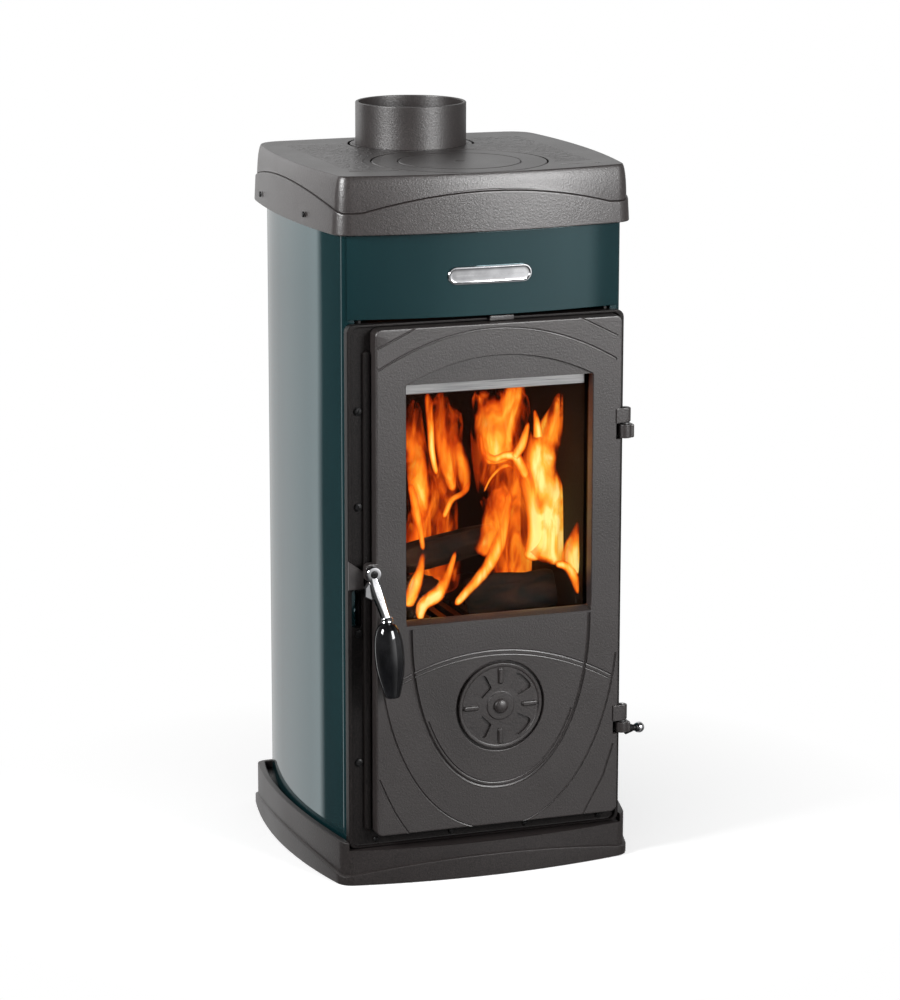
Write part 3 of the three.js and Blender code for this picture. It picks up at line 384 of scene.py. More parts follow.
grip_resin, shader = finish("black_bakelite", 0.06, Coat_Weight=0.5, Coat_Roughness=0.03)
swirl = noise(grip_resin, 45, detail=3, distortion=1.2)
varied(grip_resin, shader, swirl, (0.0035, 0.0035, 0.004), (0.008, 0.008, 0.009))
worn(grip_resin, shader, swirl, 0.045, 0.085)
print("mixed", chrome.name, bare_steel.name, black_steel.name, grip_resin.name)

# %% Mix the glass, rope, brick and wood
stove_glass, shader = finish("ceramic_glass", 0.02, IOR=1.12, Transmission_Weight=1.0)
varied(stove_glass, shader, noise(stove_glass, 30, detail=2), (0.9, 0.87, 0.82), (1.0, 0.98, 0.95))

seal_rope, shader = finish("seal_rope", 0.95)
plait = noise(seal_rope, 420, detail=2, stretch=(1, 1, 0.5))
varied(seal_rope, shader, plait, (0.16, 0.15, 0.13), (0.42, 0.40, 0.36))
relief(seal_rope, shader, plait, 0.5, 1.0)

firebrick, shader = finish("firebrick", 0.92)
# The bricks' near-black colours are part soot, part painted shade for the dark firebox.
soot_and_shade = noise(firebrick, 9, detail=4)
varied(firebrick, shader, soot_and_shade, (0.004, 0.002, 0.0014), (0.024, 0.010, 0.006), 0.35, 0.75)
relief(firebrick, shader, noise(firebrick, 260, detail=4), 0.4, 0.9)

log_wood, shader = finish("log_wood", 0.9)
bark = noise(log_wood, 60, detail=5, stretch=(0.4, 1, 1), distortion=0.4)
varied(log_wood, shader, bark, (0.006, 0.004, 0.003), (0.07, 0.030, 0.014), 0.38, 0.72)
relief(log_wood, shader, bark, 2.0, 1.0)
print("mixed", stove_glass.name, seal_rope.name, firebrick.name, log_wood.name)

# %% Give every solid its finish
FINISHES = {
    "cast_iron": cast_iron, "green_enamel": enamel, "chrome": chrome, "bare_steel": bare_steel,
    "black_steel": black_steel, "black_bakelite": grip_resin, "ceramic_glass": stove_glass,
    "seal_rope": seal_rope, "firebrick": firebrick, "log_wood": log_wood,
}
slot_of = {part["node"]: part["material_slot"] for part in frame["record"]["subparts"]}
body_of = {node: body for body, nodes in frame["record"]["behaviour"]["bodies"].items() for node in nodes}


def dressed(piece, material):
    piece.data.materials.clear()
    piece.data.materials.append(material)


for node, slot in slot_of.items():
    dressed(frame["nodes"][node], FINISHES[slot])
print("dressed", len(slot_of), "of", len(frame["nodes"]), "solids")

# %% [markdown]
# ## Ways of shaping
# Most castings here are a plan drawn once and carried upwards, so one way of working serves
# them all: draw a line of edges through points by extruding a single corner, close it, and
# extrude the ring again and again, moving each new corner to its own place. Everything else is
# a primitive that is cut, bevelled or spun.

# %% Helpers for shaping
def start(make, **settings):
    """Adds a primitive with nothing else selected and puts its place into its mesh."""
    if bpy.context.mode != "OBJECT":
        bpy.ops.object.mode_set(mode="OBJECT")
    bpy.ops.object.select_all(action="DESELECT")
    make(**settings)
    bpy.ops.object.transform_apply(location=True, rotation=True, scale=True)
    return bpy.context.object


def alone(piece):
    """Selects the piece and nothing else."""
    bpy.ops.object.select_all(action="DESELECT")
    bpy.context.view_layer.objects.active = piece
    piece.select_set(True)


def modified(piece, kind, **settings):
    """Adds a modifier and applies it."""
    alone(piece)
    made = piece.modifiers.new(kind.lower(), kind)
    for key, value in settings.items():
        setattr(made, key, value)
    bpy.ops.object.modifier_apply(modifier=made.name)
    return piece


def combined(piece, tools, operation="DIFFERENCE"):
    """Cuts the tools out of piece, or joins them to it, and removes them."""
    for tool in tools:
        modified(piece, "BOOLEAN", object=tool, operation=operation, solver="EXACT")
        bpy.data.objects.remove(tool)
    return piece


def softened(piece, width, segments=2, angle=35):
    """Breaks the edges, as casting and polishing do, width in millimetres."""
    return modified(piece, "BEVEL", width=width * MM, segments=segments, limit_method="ANGLE",
                    angle_limit=math.radians(angle), use_clamp_overlap=True, harden_normals=False)


def block(x, y, z):
    """A box between two ends on each axis, in millimetres."""
    low, high = at(x[0], y[0], z[0]), at(x[1], y[1], z[1])
    return start(bpy.ops.mesh.primitive_cube_add, size=1, location=(low + high) / 2, scale=high - low)


def rod(start_point, end_point, radius, sides=48):
    """A round bar between two points, in millimetres."""
    low, high = at(*start_point), at(*end_point)
    turn = (high - low).to_track_quat("Z", "Y").to_euler()
    return start(bpy.ops.mesh.primitive_cylinder_add, vertices=sides, radius=radius * MM,
                 depth=(high - low).length, location=(low + high) / 2, rotation=turn)


def drawn(points, closed=True):
    """A line through points, drawn by extruding one corner; closed fills it with a face."""
    line = start(bpy.ops.mesh.primitive_plane_add, size=0.001, location=points[0])
    bpy.ops.object.mode_set(mode="EDIT")
    bpy.ops.mesh.select_all(action="SELECT")
    bpy.ops.mesh.merge(type="CENTER")
    for here, there in zip(points, points[1:]):
        bpy.ops.mesh.extrude_vertices_move(TRANSFORM_OT_translate={"value": there - here})
    bpy.ops.mesh.select_all(action="SELECT")
    if closed:
        bpy.ops.mesh.edge_face_add()
    return line


def nearest_of(points):
    """A rule that tells which of the points lies nearest to a place."""
    known = KDTree(len(points))
    for index, point in enumerate(points):
        known.insert(point, index)
    known.balance()
    return lambda place: known.find(place)[1]


def raised(piece, rings):
    """Extrudes the selected ring from each of rings to the next, corner by corner, and caps it."""
    for lower, upper in zip(rings, rings[1:]):
        bpy.ops.mesh.extrude_region_move(TRANSFORM_OT_translate={"value": (0, 0, 0)})
        mesh = bmesh.from_edit_mesh(piece.data)
        nearest = nearest_of(lower)
        for corner in mesh.verts:
            if corner.select:
                corner.co = upper[nearest(corner.co)]
        bmesh.update_edit_mesh(piece.data)


def lofted(rings):
    """A solid through rings of points, with a face over its first and last ring."""
    piece = drawn(rings[0])
    raised(piece, rings)
    bpy.ops.mesh.select_all(action="SELECT")
    bpy.ops.mesh.normals_make_consistent(inside=False)
    bpy.ops.object.mode_set(mode="OBJECT")
    return piece


def spun(profile, centre, axis="Z", steps=96):
    """A profile of (radius, height) pairs in millimetres spun round the z or the front axis."""
    line = drawn([Vector((radius, 0, height)) * MM for radius, height in profile], closed=False)
    bpy.ops.mesh.spin(steps=steps, angle=math.tau, center=(0, 0, 0), axis=(0, 0, 1))
    bpy.ops.mesh.select_all(action="SELECT")
    bpy.ops.mesh.remove_doubles(threshold=0.000001)
    bpy.ops.mesh.normals_make_consistent(inside=False)
    bpy.ops.object.mode_set(mode="OBJECT")
    if axis == "Y":
        line.data.transform(Matrix.Rotation(math.pi / 2, 4, "X"))
    line.data.transform(Matrix.Translation(at(*centre)))
    return line


def placed(piece, node, made=None, name=None, smooth=30, look=None):
    """Names a piece after the solid that it replaces and how it is made, unless it has a name of
    its own, and gives it that solid's finish, or the look given, and that solid's body."""
    alone(piece)
    bpy.ops.object.shade_smooth_by_angle(angle=math.radians(smooth))
    piece.name = piece.data.name = name or f"{node}_{made}"
    dressed(piece, look or FINISHES[slot_of[node]])
    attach(piece, body_of[node])
    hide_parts(node)
    modified(piece, "WEIGHTED_NORMAL", keep_sharp=True, weight=90)
    print(piece.name, "faces:", len(piece.data.polygons))


print("shaping helpers ready")


# %% Curves in plan
def bend(start_point, pull, end_point, steps):
    """Points of a curve that leaves towards pull and arrives from it, without its last point."""
    a, b, c = Vector(start_point), Vector(pull), Vector(end_point)
    return [a * (1 - t) ** 2 + b * 2 * t * (1 - t) + c * t * t for t in (i / steps for i in range(steps))]


def bowed_plan(plan, inset, along=26, corner=9):
    """A rectangle whose sides bow outwards, with rounded corners, as (x, y) points."""
    half, front, back_y = plan["half"] - inset, plan["front"] + inset, plan["back"] - inset
    middle, reach = (front + back_y) / 2, (back_y - front) / 2
    tight, loose = max(plan["round"] - inset, 2), max(plan["round_back"] - inset, 2)

    def on_front(x):
        return front - plan["bow_front"] * (1 - (x / half) ** 2)

    def on_back(x):
        return back_y + plan["bow_back"] * (1 - (x / half) ** 2)

    def on_side(y):
        return half + plan["bow_side"] * (1 - ((y - middle) / reach) ** 2)

    front_x, back_x, front_y, end_y = half - tight, half - loose, front + tight, back_y - loose
    centre = (front_y + end_y) / 2
    side_pull = on_side(centre) * 2 - (on_side(front_y) + on_side(end_y)) / 2
    right = (
        bend((0, on_front(0)), (front_x / 2, on_front(0)), (front_x, on_front(front_x)), along // 2)
        + bend((front_x, on_front(front_x)), (half, front), (on_side(front_y), front_y), corner)
        + bend((on_side(front_y), front_y), (side_pull, centre), (on_side(end_y), end_y), along)
        + bend((on_side(end_y), end_y), (half, back_y), (back_x, on_back(back_x)), corner)
        + bend((back_x, on_back(back_x)), (back_x / 2, on_back(0)), (0, on_back(0)), along // 2)
    )
    return right + [Vector((0, on_back(0)))] + [Vector((-x, y)) for x, y in reversed(right[1:])]


def side_arc(plan, y):
    """The arc along both sides of the plan at a depth y: 1 in the middle, 0 at the ends."""
    middle, reach = (plan["front"] + plan["back"]) / 2, (plan["back"] - plan["front"]) / 2
    return 1 - ((y - middle) / reach) ** 2


def arch_height(plan, low, rise, span):
    """Height of the band at a point of the plan: an arc across each side, low at the corners."""
    round_the_corner = 0.03

    def height(x, y):
        on_side, on_front_or_back = side_arc(plan, y), 1 - (x / span) ** 2
        return low + rise * max(0.0, on_side if on_side > round_the_corner else on_front_or_back)

    return height


def ring(plan, inset, height):
    """The plan drawn in by inset at a height, or at the height that a rule gives each point."""
    outer = bowed_plan(plan, 0)
    inner = bowed_plan(plan, inset)
    return [at(x, y, height(*place) if callable(height) else height) for (x, y), place in zip(inner, outer)]


print("plan helpers ready")

# %% [markdown]
# ## Top lid
# The lid is one casting with a skirt. An arched band stands proud along the foot of the skirt,
# above it the wall leans in a little and rolls over into the top. The rings climb the skirt,
# then the hot-plate seat, the flue hole and two curved slots are cut out of it.

# %% Cast the lid
LID = dict(half=174, front=3.5, back=336, bow_front=21, bow_side=13.5, bow_back=6, round=16, round_back=34)
LID_FOOT = 745
LID_STEP, LID_LEAN, LID_ROLL = 3.0, 5.0, 40
lid_band = arch_height(LID, LID_FOOT + 24, 21, 148)


def lid_leaning(share):
    """Inset and height of the wall, from where it starts to lean (0) to the top (1)."""
    angle = share * math.pi / 2
    return LID_STEP + LID_LEAN * (1 - math.cos(angle)), LID_TOP - LID_ROLL + LID_ROLL * math.sin(angle)


def lid_wall(share):
    inset, height = lid_leaning(share)
    return ring(LID, inset, lambda x, y: max(height, lid_band(x, y) + 1.6 + share * 3))


def over(band, rise):
    """A height that keeps a little above or below the band all the way round."""
    return lambda x, y: band(x, y) + rise


rings = [ring(LID, inset, height) for inset, height in (
    (1.2, LID_FOOT), (0.3, LID_FOOT + 0.5), (0, LID_FOOT + 1.6), (1.2, over(lid_band, -1.8)),
    (1.6, over(lid_band, -0.5)), (2.4, lid_band), (LID_STEP + 0.9, over(lid_band, 0.1)),
    (LID_STEP, over(lid_band, 1.2)))]
rings += [lid_wall(share) for share in (0.05, 0.2, 0.35, 0.5, 0.62, 0.74, 0.84, 0.92)]
rings.append(ring(LID, LID_STEP + LID_LEAN, LID_TOP))
lid = lofted(rings)
print("lid rings:", len(rings))

# %% Hollow it and cut its openings
HOT_RADIUS, HOT_LEDGE, HOT_THICK = 101.1, 92, 6
FLUE_Y, FLUE_OUTER, FLUE_INNER, FLUE_TOP = 262, 65, 61, 859.4
LID_WALL, LID_PLATE = 8, 9
LID_INSIDE = LID_WALL + LID_STEP + 1
hollow = lofted([ring(LID, LID_INSIDE, height) for height in (LID_FOOT - 1, LID_TOP - LID_PLATE)])


def groove(points, radius):
    """A round bar bent along points, to be sunk half way into a face as a groove."""
    line = drawn(points, closed=False)
    bpy.ops.object.mode_set(mode="OBJECT")
    bpy.ops.object.convert(target="CURVE")
    bar = bpy.context.object
    bar.data.bevel_depth = radius * MM
    bar.data.bevel_resolution = 2
    bar.data.use_fill_caps = True
    bpy.ops.object.convert(target="MESH")
    return bpy.context.object


def corner_bar(start_point, end_point):
    """A short straight groove in the lid's top between two (x, y) points."""
    a, b = at(*start_point, LID_TOP), at(*end_point, LID_TOP)
    return groove([a.lerp(b, i / 6) for i in range(7)], 1.5)


def curved_slot(side):
    """A tool that cuts a slot round the flue hole."""
    angles = [-0.44 + 1.23 * i / 16 for i in range(17)]
    arc = [(74.5, angle) for angle in angles] + [(71.5, angle) for angle in reversed(angles)]
    points = [(side * radius * math.cos(angle), FLUE_Y + radius * math.sin(angle)) for radius, angle in arc]
    return lofted([[at(x, y, height) for x, y in points] for height in (LID_TOP - 20, LID_TOP + 1)])


combined(lid, [
    hollow,
    rod((0, HOT_Y, LID_FOOT), (0, HOT_Y, LID_TOP + 1), HOT_LEDGE, 96),
    rod((0, HOT_Y, LID_TOP - HOT_THICK), (0, HOT_Y, LID_TOP + 1), HOT_RADIUS, 96),
    rod((0, FLUE_Y, LID_FOOT), (0, FLUE_Y, LID_TOP + 1), FLUE_OUTER + 0.3, 96),
    curved_slot(1), curved_slot(-1),
    corner_bar((-146.2, 47.3), (-91.3, 37.2)), corner_bar((98.3, 29.9), (144.5, 27.6)),
])
placed(lid, "top_lid", "cast", look=lid_iron_painted_light)

# %% [markdown]
# ## Hot plate and flue collar
# Turned parts: a half section is drawn and spun round its axis. The disc lies in the ring and
# the ring in the lid, each with a hair's breadth of play, and a small dimple marks the centre.

# %% Spin the ring, the disc and the collar
RING_INNER = 63
hot_ring = spun([(RING_INNER, 804.3), (99.5, 804.3), (99.5, 808.8), (98.6, LID_TOP), (71.2, LID_TOP),
                 (70.2, 809), (70, 807), (RING_INNER, 807), (RING_INNER, 804.3)], (0, HOT_Y, 0))
placed(hot_ring, "hot_plate_ring", "turned")
hot_disc = spun([(0, 807.3), (69.2, 807.3), (69.2, 809), (68.3, LID_TOP), (7, LID_TOP), (6, 809.7),
                 (5, 808.9), (0, 808.6)], (0, HOT_Y, 0))
placed(hot_disc, "hot_plate_disc", "turned")
collar = spun([(FLUE_INNER, 738.3), (FLUE_OUTER, 738.3), (FLUE_OUTER, 858.2), (64.6, 859), (63.8, FLUE_TOP),
               (62.2, FLUE_TOP), (61.3, 859), (FLUE_INNER, 858), (FLUE_INNER, 738.3)], (0, FLUE_Y, 0))
placed(collar, "flue_collar", "turned")

# %% [markdown]
# ## Base
# The foot is built as the lid is: rings climb the arched foot band, the wall, the rounded rim
# and then drop inside to the deck that carries the stove. The front is cut down to the deck.

# %% Cast the base
BASE = dict(half=175, front=-5.5, back=343, bow_front=19, bow_side=21, bow_back=4, round=14, round_back=14)
BASE_DECK, BASE_EAR, BASE_WALL, BASE_STEP = 40.5, 50, 10, 2.8
base_band = arch_height(BASE, 10, 16, BASE["half"])


def under_ear(drop):
    """The height of the walls' top, which arches up along both sides, less drop."""
    return lambda x, y: BASE_EAR - drop + 6 * max(0.0, side_arc(BASE, y))


base = lofted([ring(BASE, inset, height) for inset, height in (
    (1.2, 0), (0.3, 0.5), (0, 1.6), (0, over(base_band, -1.6)), (0.4, over(base_band, -0.5)),
    (1.2, base_band), (BASE_STEP, over(base_band, 0.7)), (BASE_STEP, 30), (BASE_STEP, under_ear(1.6)),
    (BASE_STEP + 0.4, under_ear(0.5)), (BASE_STEP + 1.5, under_ear(0)), (BASE_WALL - 1, under_ear(0)),
    (BASE_WALL, under_ear(1)), (BASE_WALL, BASE_DECK))])
combined(base, [
    block((-166, 166), (-45, 24.6), (BASE_DECK, BASE_EAR + 8)),
    lofted([ring(BASE, BASE_WALL, height) for height in (-1, BASE_DECK - BASE_WALL)]),
])
placed(base, "base_plinth", "cast", look=foot_iron)

# %% [markdown]
# ## Enamelled panels
# Pressed sheet steel. The section of a side panel, with its rolled front and back edges and the
# long bow between them, is drawn as a line, carried up as a sheet, and given its thickness
# inwards. Its cut edges are eased, because enamel rounds off every edge that it covers.

# %% Press the panels
BODY = dict(half=165.5, front=12.6, back=304, bow=17.5, round=7.5, sheet=2.5, bottom=42, top=744,
            returned=6)


def pressed(path, bottom, top, sheet, outwards):
    """A sheet that follows path in plan, with its thickness on the inside."""
    panel = drawn([at(x, y, bottom) for x, y in path], closed=False)
    bpy.ops.mesh.extrude_region_move(TRANSFORM_OT_translate={"value": (0, 0, (top - bottom) * MM)})
    bpy.ops.object.mode_set(mode="OBJECT")
    facing = sum((face.normal * face.area for face in panel.data.polygons), Vector())
    if facing.dot(Vector(outwards)) < 0:
        panel.data.flip_normals()
    modified(panel, "SOLIDIFY", thickness=sheet * MM, offset=-1)
    return softened(panel, 0.7, 3, 60)


def side_path(side):
    x, front, back_y = BODY["half"], BODY["front"], BODY["back"]
    rolled, end = BODY["round"], BODY["half"] - BODY["round"] - BODY["returned"]
    middle = (front + back_y) / 2
    path = ([Vector((end, front))]
            + bend((x - rolled, front), (x, front), (x, front + rolled), 10)
            + bend((x, front + rolled), (x + 2 * BODY["bow"], middle), (x, back_y - rolled), 56)
            + bend((x, back_y - rolled), (x, back_y), (x - rolled, back_y), 10)
            + [Vector((x - rolled, back_y)), Vector((end, back_y))])
    return [(side * px, py) for px, py in path]


ROD_Y, ROD_Z = 20, 145.5
left_panel = pressed(side_path(-1), BODY["bottom"], BODY["top"], BODY["sheet"], (-1, 0, 0))
placed(left_panel, "left_side_panel", "pressed")
right_panel = pressed(side_path(1), BODY["bottom"], BODY["top"], BODY["sheet"], (1, 0, 0))
combined(right_panel, [rod((150, ROD_Y, ROD_Z), (190, ROD_Y, ROD_Z), 4.1)])
placed(right_panel, "right_side_panel", "pressed")

UPPER = dict(half=161.5, front=10, bow=18, bottom=650, top=744, sheet=2.2)


def upper_face(x):
    """How far back the face of the upper panel lies at x."""
    return UPPER["front"] - UPPER["bow"] * (1 - (x / UPPER["half"]) ** 2)


upper_path = [(x, upper_face(x)) for x in (UPPER["half"] * (i / 24 - 1) for i in range(49))]
upper_panel = pressed(upper_path, UPPER["bottom"], UPPER["top"], UPPER["sheet"], (0, -1, 0))
placed(upper_panel, "upper_front_panel", "pressed")

# %% [markdown]
# ## Badge plate
# A small chromed lozenge, bent to the bow of the panel, with a raised rim round a sunk field
# that is left plain.

# %% Stamp the badge plate
BADGE_HALF, BADGE_HIGH, BADGE_Z = 49.5, 10, 696


def lozenge(inset, stand_off):
    """The plate's outline drawn in by inset, stand_off in front of the panel."""
    radius = max(BADGE_HIGH - inset, 0.05)
    straight = BADGE_HALF - BADGE_HIGH
    half = [(straight * (1 - i / 5), -radius) for i in range(11)]
    angles = [math.pi * i / 16 for i in range(1, 16)]
    half += [(-straight - radius * math.sin(angle), -radius * math.cos(angle)) for angle in angles]
    return [at(x, upper_face(x) - stand_off, BADGE_Z + z) for x, z in half + [(-x, -z) for x, z in half]]


badge = lofted([lozenge(inset, stand_off) for inset, stand_off in (
    (0.4, 0.3), (0, 0.8), (0, 2.1), (0.5, 2.7), (1.7, 2.8), (2.3, 2.5), (2.8, 1.7), (3.6, 1.5), (6, 1.5),
    (8.5, 1.5), (9.9, 1.5))])
placed(badge, "badge_plate", "stamped")

# %% [markdown]
# ## Front frame
# A shallow cast tray. Its rim, the mouth that the door closes and the rib beside the door are all
# rounded rectangles seen from the front, so one helper draws them, each step a little further in
# and a little further back, and the fillets come with the steps.

# %% Helpers for castings seen from the front
def rounded(left, right, bottom, top, radius, corner=7):
    """A rectangle with rounded corners, as (x, z) points."""
    radius = max(radius, 0.2)
    centres = [(right - radius, bottom + radius, -90), (right - radius, top - radius, 0),
               (left + radius, top - radius, 90), (left + radius, bottom + radius, 180)]
    return [(x + radius * math.cos(math.radians(first + 90 * i / corner)),
             z + radius * math.sin(math.radians(first + 90 * i / corner)))
            for x, z, first in centres for i in range(corner + 1)]


def frontal(steps):
    """A solid through outlines seen from the front, each given with its depth y."""
    return lofted([[at(x, y, z) for x, z in outline] for outline, y in steps])


def narrowed(sides, inset):
    """The sides of a rectangle drawn in by inset, or moved out where it is negative."""
    left, right, bottom, top = sides
    return left + inset, right - inset, bottom + inset, top - inset


def inlaid(sides, radius, steps):
    """A solid from a rounded rectangle, drawn in by each inset at its depth."""
    return frontal([(rounded(*narrowed(sides, inset), radius - inset), y) for inset, y in steps])


print("front helpers ready")

# %% Cast the front frame
FRAME, TRAY, MOUTH = (-165, 165, 41.2, 646), (-160.5, 160.5, 43.2, 643), (-127, 147, 68, 631)
RIB, LATCH_SLOT = (-146, -137.6, 62, 616), (-159, -147.5, 300, 343)
front_frame = inlaid(FRAME, 9, [(1.2, 12), (0, 11), (0, 1.4), (0.4, 0.4), (1.4, 0)])
combined(front_frame, [inlaid(TRAY, 9, [(1.4, 5), (0.5, 4.6), (0, 3.6), (0, 1), (-0.5, 0.2), (-1.1, -1)]),
                       inlaid(MOUTH, 12, [(-1.2, 4), (-0.4, 5.4), (0, 6.4), (0, 10.8), (-1, 13)])])
combined(front_frame, [inlaid(RIB, 4.1, [(0, 6), (0, 2), (0.5, 0.8), (1.4, 0.15), (2.6, 0)])], "UNION")
combined(front_frame, [inlaid(LATCH_SLOT, 3, [(0, 13), (0, 5.6), (-0.5, 4.9), (-0.8, 4)])])
# The frame takes the darker iron, whose colour is painted shade for the channel behind the door's edge.
placed(front_frame, "front_frame", "cast", look=shaded_matt_iron)

catch_face = [(-165, 346), (-147.2, 346), (-147.2, 366), (-165, 379)]


def drawn_in(outline, inset):
    """A convex outline whose corners move towards the middle, as square ones drawn in by inset."""
    middle = Vector(tuple(sum(part) / len(outline) for part in zip(*outline)))
    diagonal = 1.4 * inset
    return [tuple(Vector(corner) + (middle - Vector(corner)).normalized() * diagonal)
            for corner in outline]


catch = frontal([(catch_face, -0.3), (catch_face, -2.3), (drawn_in(catch_face, 0.7), -3)])
combined(catch, [block((-160, -147.2), (-0.6, 4.7), (346, 366))], "UNION")
placed(catch, "latch_catch", "cast")

# %% Turn the frame's screws
SCREW_SEAT = 4.7


def pan_screw(node, name, radius, x, z, turned_by):
    """A pan-head screw with a driver slot, in the frame's channel."""
    head = [(radius * share, height) for share, height in (
        (0, 0), (1, 0), (1, 0.5), (0.96, 1.1), (0.82, 1.7), (0.55, 2.1), (0, 2.25))]
    screw = spun(head, (x, SCREW_SEAT, z), "Y", 40)
    along = Vector((math.cos(turned_by), math.sin(turned_by))) * (radius + 1)
    side = Vector((-along.y, along.x)).normalized() * 0.55
    ends = [(x + end.x, z + end.y) for end in (along + side, side - along, -along - side, along - side)]
    combined(screw, [frontal([(ends, SCREW_SEAT - 1.2), (ends, SCREW_SEAT - 3)])])
    placed(screw, node, name=name)


for number, z in enumerate((548, 439, 293, 142), 1):
    pan_screw(f"frame_screw_left_{number}", f"channel_screw_{number}", 4.8, -151.3, z, 0.5 + number * 0.7)
for number, x in enumerate((-132, -41, 50, 141), 1):
    pan_screw(f"frame_screw_bottom_{number}", f"bottom_screw_{number}", 3.1, x, 49, number * 1.1)

# %% [markdown]
# ## Door
# A thick cast slab with a lip behind it. The window, its arched recess and bevelled sill, the
# pocket for the air rosette and the hinge notches are cut first; then bars bent along the drawn
# lines are sunk half way into the face, which leaves the cast grooves.

# %% Cast the door's slab
DOOR_FACE = -14
DOOR, WINDOW = (-136.5, 157.5, 57, 642), (-100.5, 122.5, 305.5, 577)
PIVOT_X, PIVOT_Z = -141.5, 367
HINGES = (("upper", 500, 517, 535), ("lower", 152, 165.5, 185))  # each with its foot, split and top
ROSETTE_X, ROSETTE_Z, POCKET = 12.3, 198.7, 53
door = inlaid(DOOR, 8, [(0, 4.4), (0, -11.4), (0.35, -12.7), (1.1, -13.6), (2.3, DOOR_FACE)])
lug = inlaid((PIVOT_X - 7, -126, PIVOT_Z - 10, PIVOT_Z + 10), 5,
             [(0, -4.3), (0, -12.6), (0.5, -13.6), (1.4, DOOR_FACE)])
combined(door, [lug], "UNION")
behind_lip = inlaid(narrowed(DOOR, 3), 5, [(0, 6), (0, 0)])
hollow = block((-123, 143), (-7, 1), (74, 283.5))
boss = rod((ROSETTE_X, -8, ROSETTE_Z), (ROSETTE_X, 2, ROSETTE_Z), 57, 96)
combined(hollow, [boss])


def circle(x, z, radius, count=96):
    return [(x + radius * math.cos(math.tau * i / count), z + radius * math.sin(math.tau * i / count))
            for i in range(count)]


window = inlaid(WINDOW, 2, [(0, 2), (0, -12.6), (-0.4, -13.6), (-1.2, -14.2), (-1.2, -15)])
across = [WINDOW[0] + (WINDOW[1] - WINDOW[0]) * i / 40 for i in range(41)]
middle_x, half_window = (WINDOW[0] + WINDOW[1]) / 2, (WINDOW[1] - WINDOW[0]) / 2


def recess(grow):
    """The recess over the window: an arc that springs from its upper corners."""
    top = [(x, 577.6 + 27.8 * (1 - ((x - middle_x) / half_window) ** 2) + grow) for x in across]
    return [(WINDOW[1] - 2, 565), *reversed(top), (WINDOW[0] + 2, 565)]


sill = lofted([[at(x, y, z) for y, z in ((-15, 301.1), (-14, 301.5), (-5, 305.5), (-5, 312), (-15, 312))]
               for x in (WINDOW[0], WINDOW[1])])
notches = [block((151, 160), (-15, -2), (low - 0.6, split + 0.6)) for level, low, split, high in HINGES]
pocket = frontal([(circle(ROSETTE_X, ROSETTE_Z, POCKET + grow), y)
                  for grow, y in ((0, -11), (0, -13.1), (0.5, -13.7), (1.6, -14.2), (1.6, -15))])
combined(door, [behind_lip, hollow, window,
                frontal([(recess(0), -10.5), (recess(0), -13.4), (recess(0.8), -14.2), (recess(0.8), -15)]),
                sill, *notches, pocket])
print("door slab faces:", len(door.data.polygons))


# %% Cut the air holes, the bores and the grooves
def air_window(centre, half, inner=24, outer=43, steps=10):
    """A ring segment round the rosette's axis with soft outer corners."""
    soft = 4 / outer
    points = [(inner, centre - half), (outer - 4, centre - half), (outer - 1.2, centre - half + soft * 0.3)]
    points += [(outer, centre - half + soft + (2 * half - 2 * soft) * i / steps) for i in range(steps + 1)]
    points += [(outer - 1.2, centre + half - soft * 0.3), (outer - 4, centre + half), (inner, centre + half)]
    return [(ROSETTE_X + radius * math.cos(angle), ROSETTE_Z + radius * math.sin(angle))
            for radius, angle in points]


def oval_path(middle, half, drop, power, first, last, height=300, count=60):
    """The lower part of a flattened oval, between two angles in degrees."""
    angles = [math.radians(first + (last - first) * i / count) for i in range(count + 1)]
    return [(middle + half * math.copysign(abs(math.cos(a)) ** (2 / power), math.cos(a)),
             height - drop * math.sin(a) ** (2 / power)) for a in angles]


def arc_path(first, last, top, steep, middle, count=40):
    """A flat arc that falls away to both sides of its middle."""
    spots = [first + (last - first) * i / count for i in range(count + 1)]
    return [(x, top - steep * (x - middle) ** 2) for x in spots]


GROOVES = [
    (oval_path(12.3, 107.8, 197.3, 2.15, 0.2, 179.4), 2.3),
    (oval_path(12.3, 103.4, 192.4, 2.15, 34, 146), 1.3),
    (oval_path(11, 145, 247, 2.1, 11, 171), 1.4),
    (arc_path(-127, 148.3, 264.4, 0.0020, 3.4), 1.5),
    (arc_path(-125, 146, 259.2, 0.0020, 3.4), 1.1),
    (arc_path(-133.6, 151, 636, 0.002066, 5.3), 1.5),
    ([(-134.5, 620.4), (-117.3, 628.2), (-95.1, 638.6), (-88, 643)], 1.4),
    ([(103, 643), (111.6, 639.2), (129.8, 630), (152, 618.6)], 1.4),
    ([(-133.5, 125), (-124.2, 103.5), (-114.8, 83.9), (-106.4, 69.9), (-97, 56)], 1.4),
    ([(151.5, 140), (139.8, 102.8), (123.9, 74.2), (115, 58)], 1.4),
]
tools = [frontal([(air_window(i * math.pi / 2, 0.36), y) for y in (2, -12)]) for i in range(4)]
tools += [rod((ROSETTE_X, 2, ROSETTE_Z), (ROSETTE_X, -12, ROSETTE_Z), 3.4, 32),
          rod((PIVOT_X, 2, PIVOT_Z), (PIVOT_X, -15, PIVOT_Z), 4.4, 32)]
ring_groove = rod((ROSETTE_X, -9.5, ROSETTE_Z), (ROSETTE_X, -12, ROSETTE_Z), 52.7, 96)
combined(ring_groove, [rod((ROSETTE_X, -8, ROSETTE_Z), (ROSETTE_X, -13, ROSETTE_Z), 49.6, 96)])
combined(door, tools + [ring_groove])
combined(door, [groove([at(x, DOOR_FACE, z) for x, z in points], radius) for points, radius in GROOVES])
placed(door, "door", "cast", smooth=28)

# %% [markdown]
# ## Glass, strip and seals
# The glass is a ground sheet with eased edges. The brushed strip lies along its top behind the
# door, with its edges rolled round; the clips at the sides are folded from sheet. The rope seals
# are bands rounded on every edge.

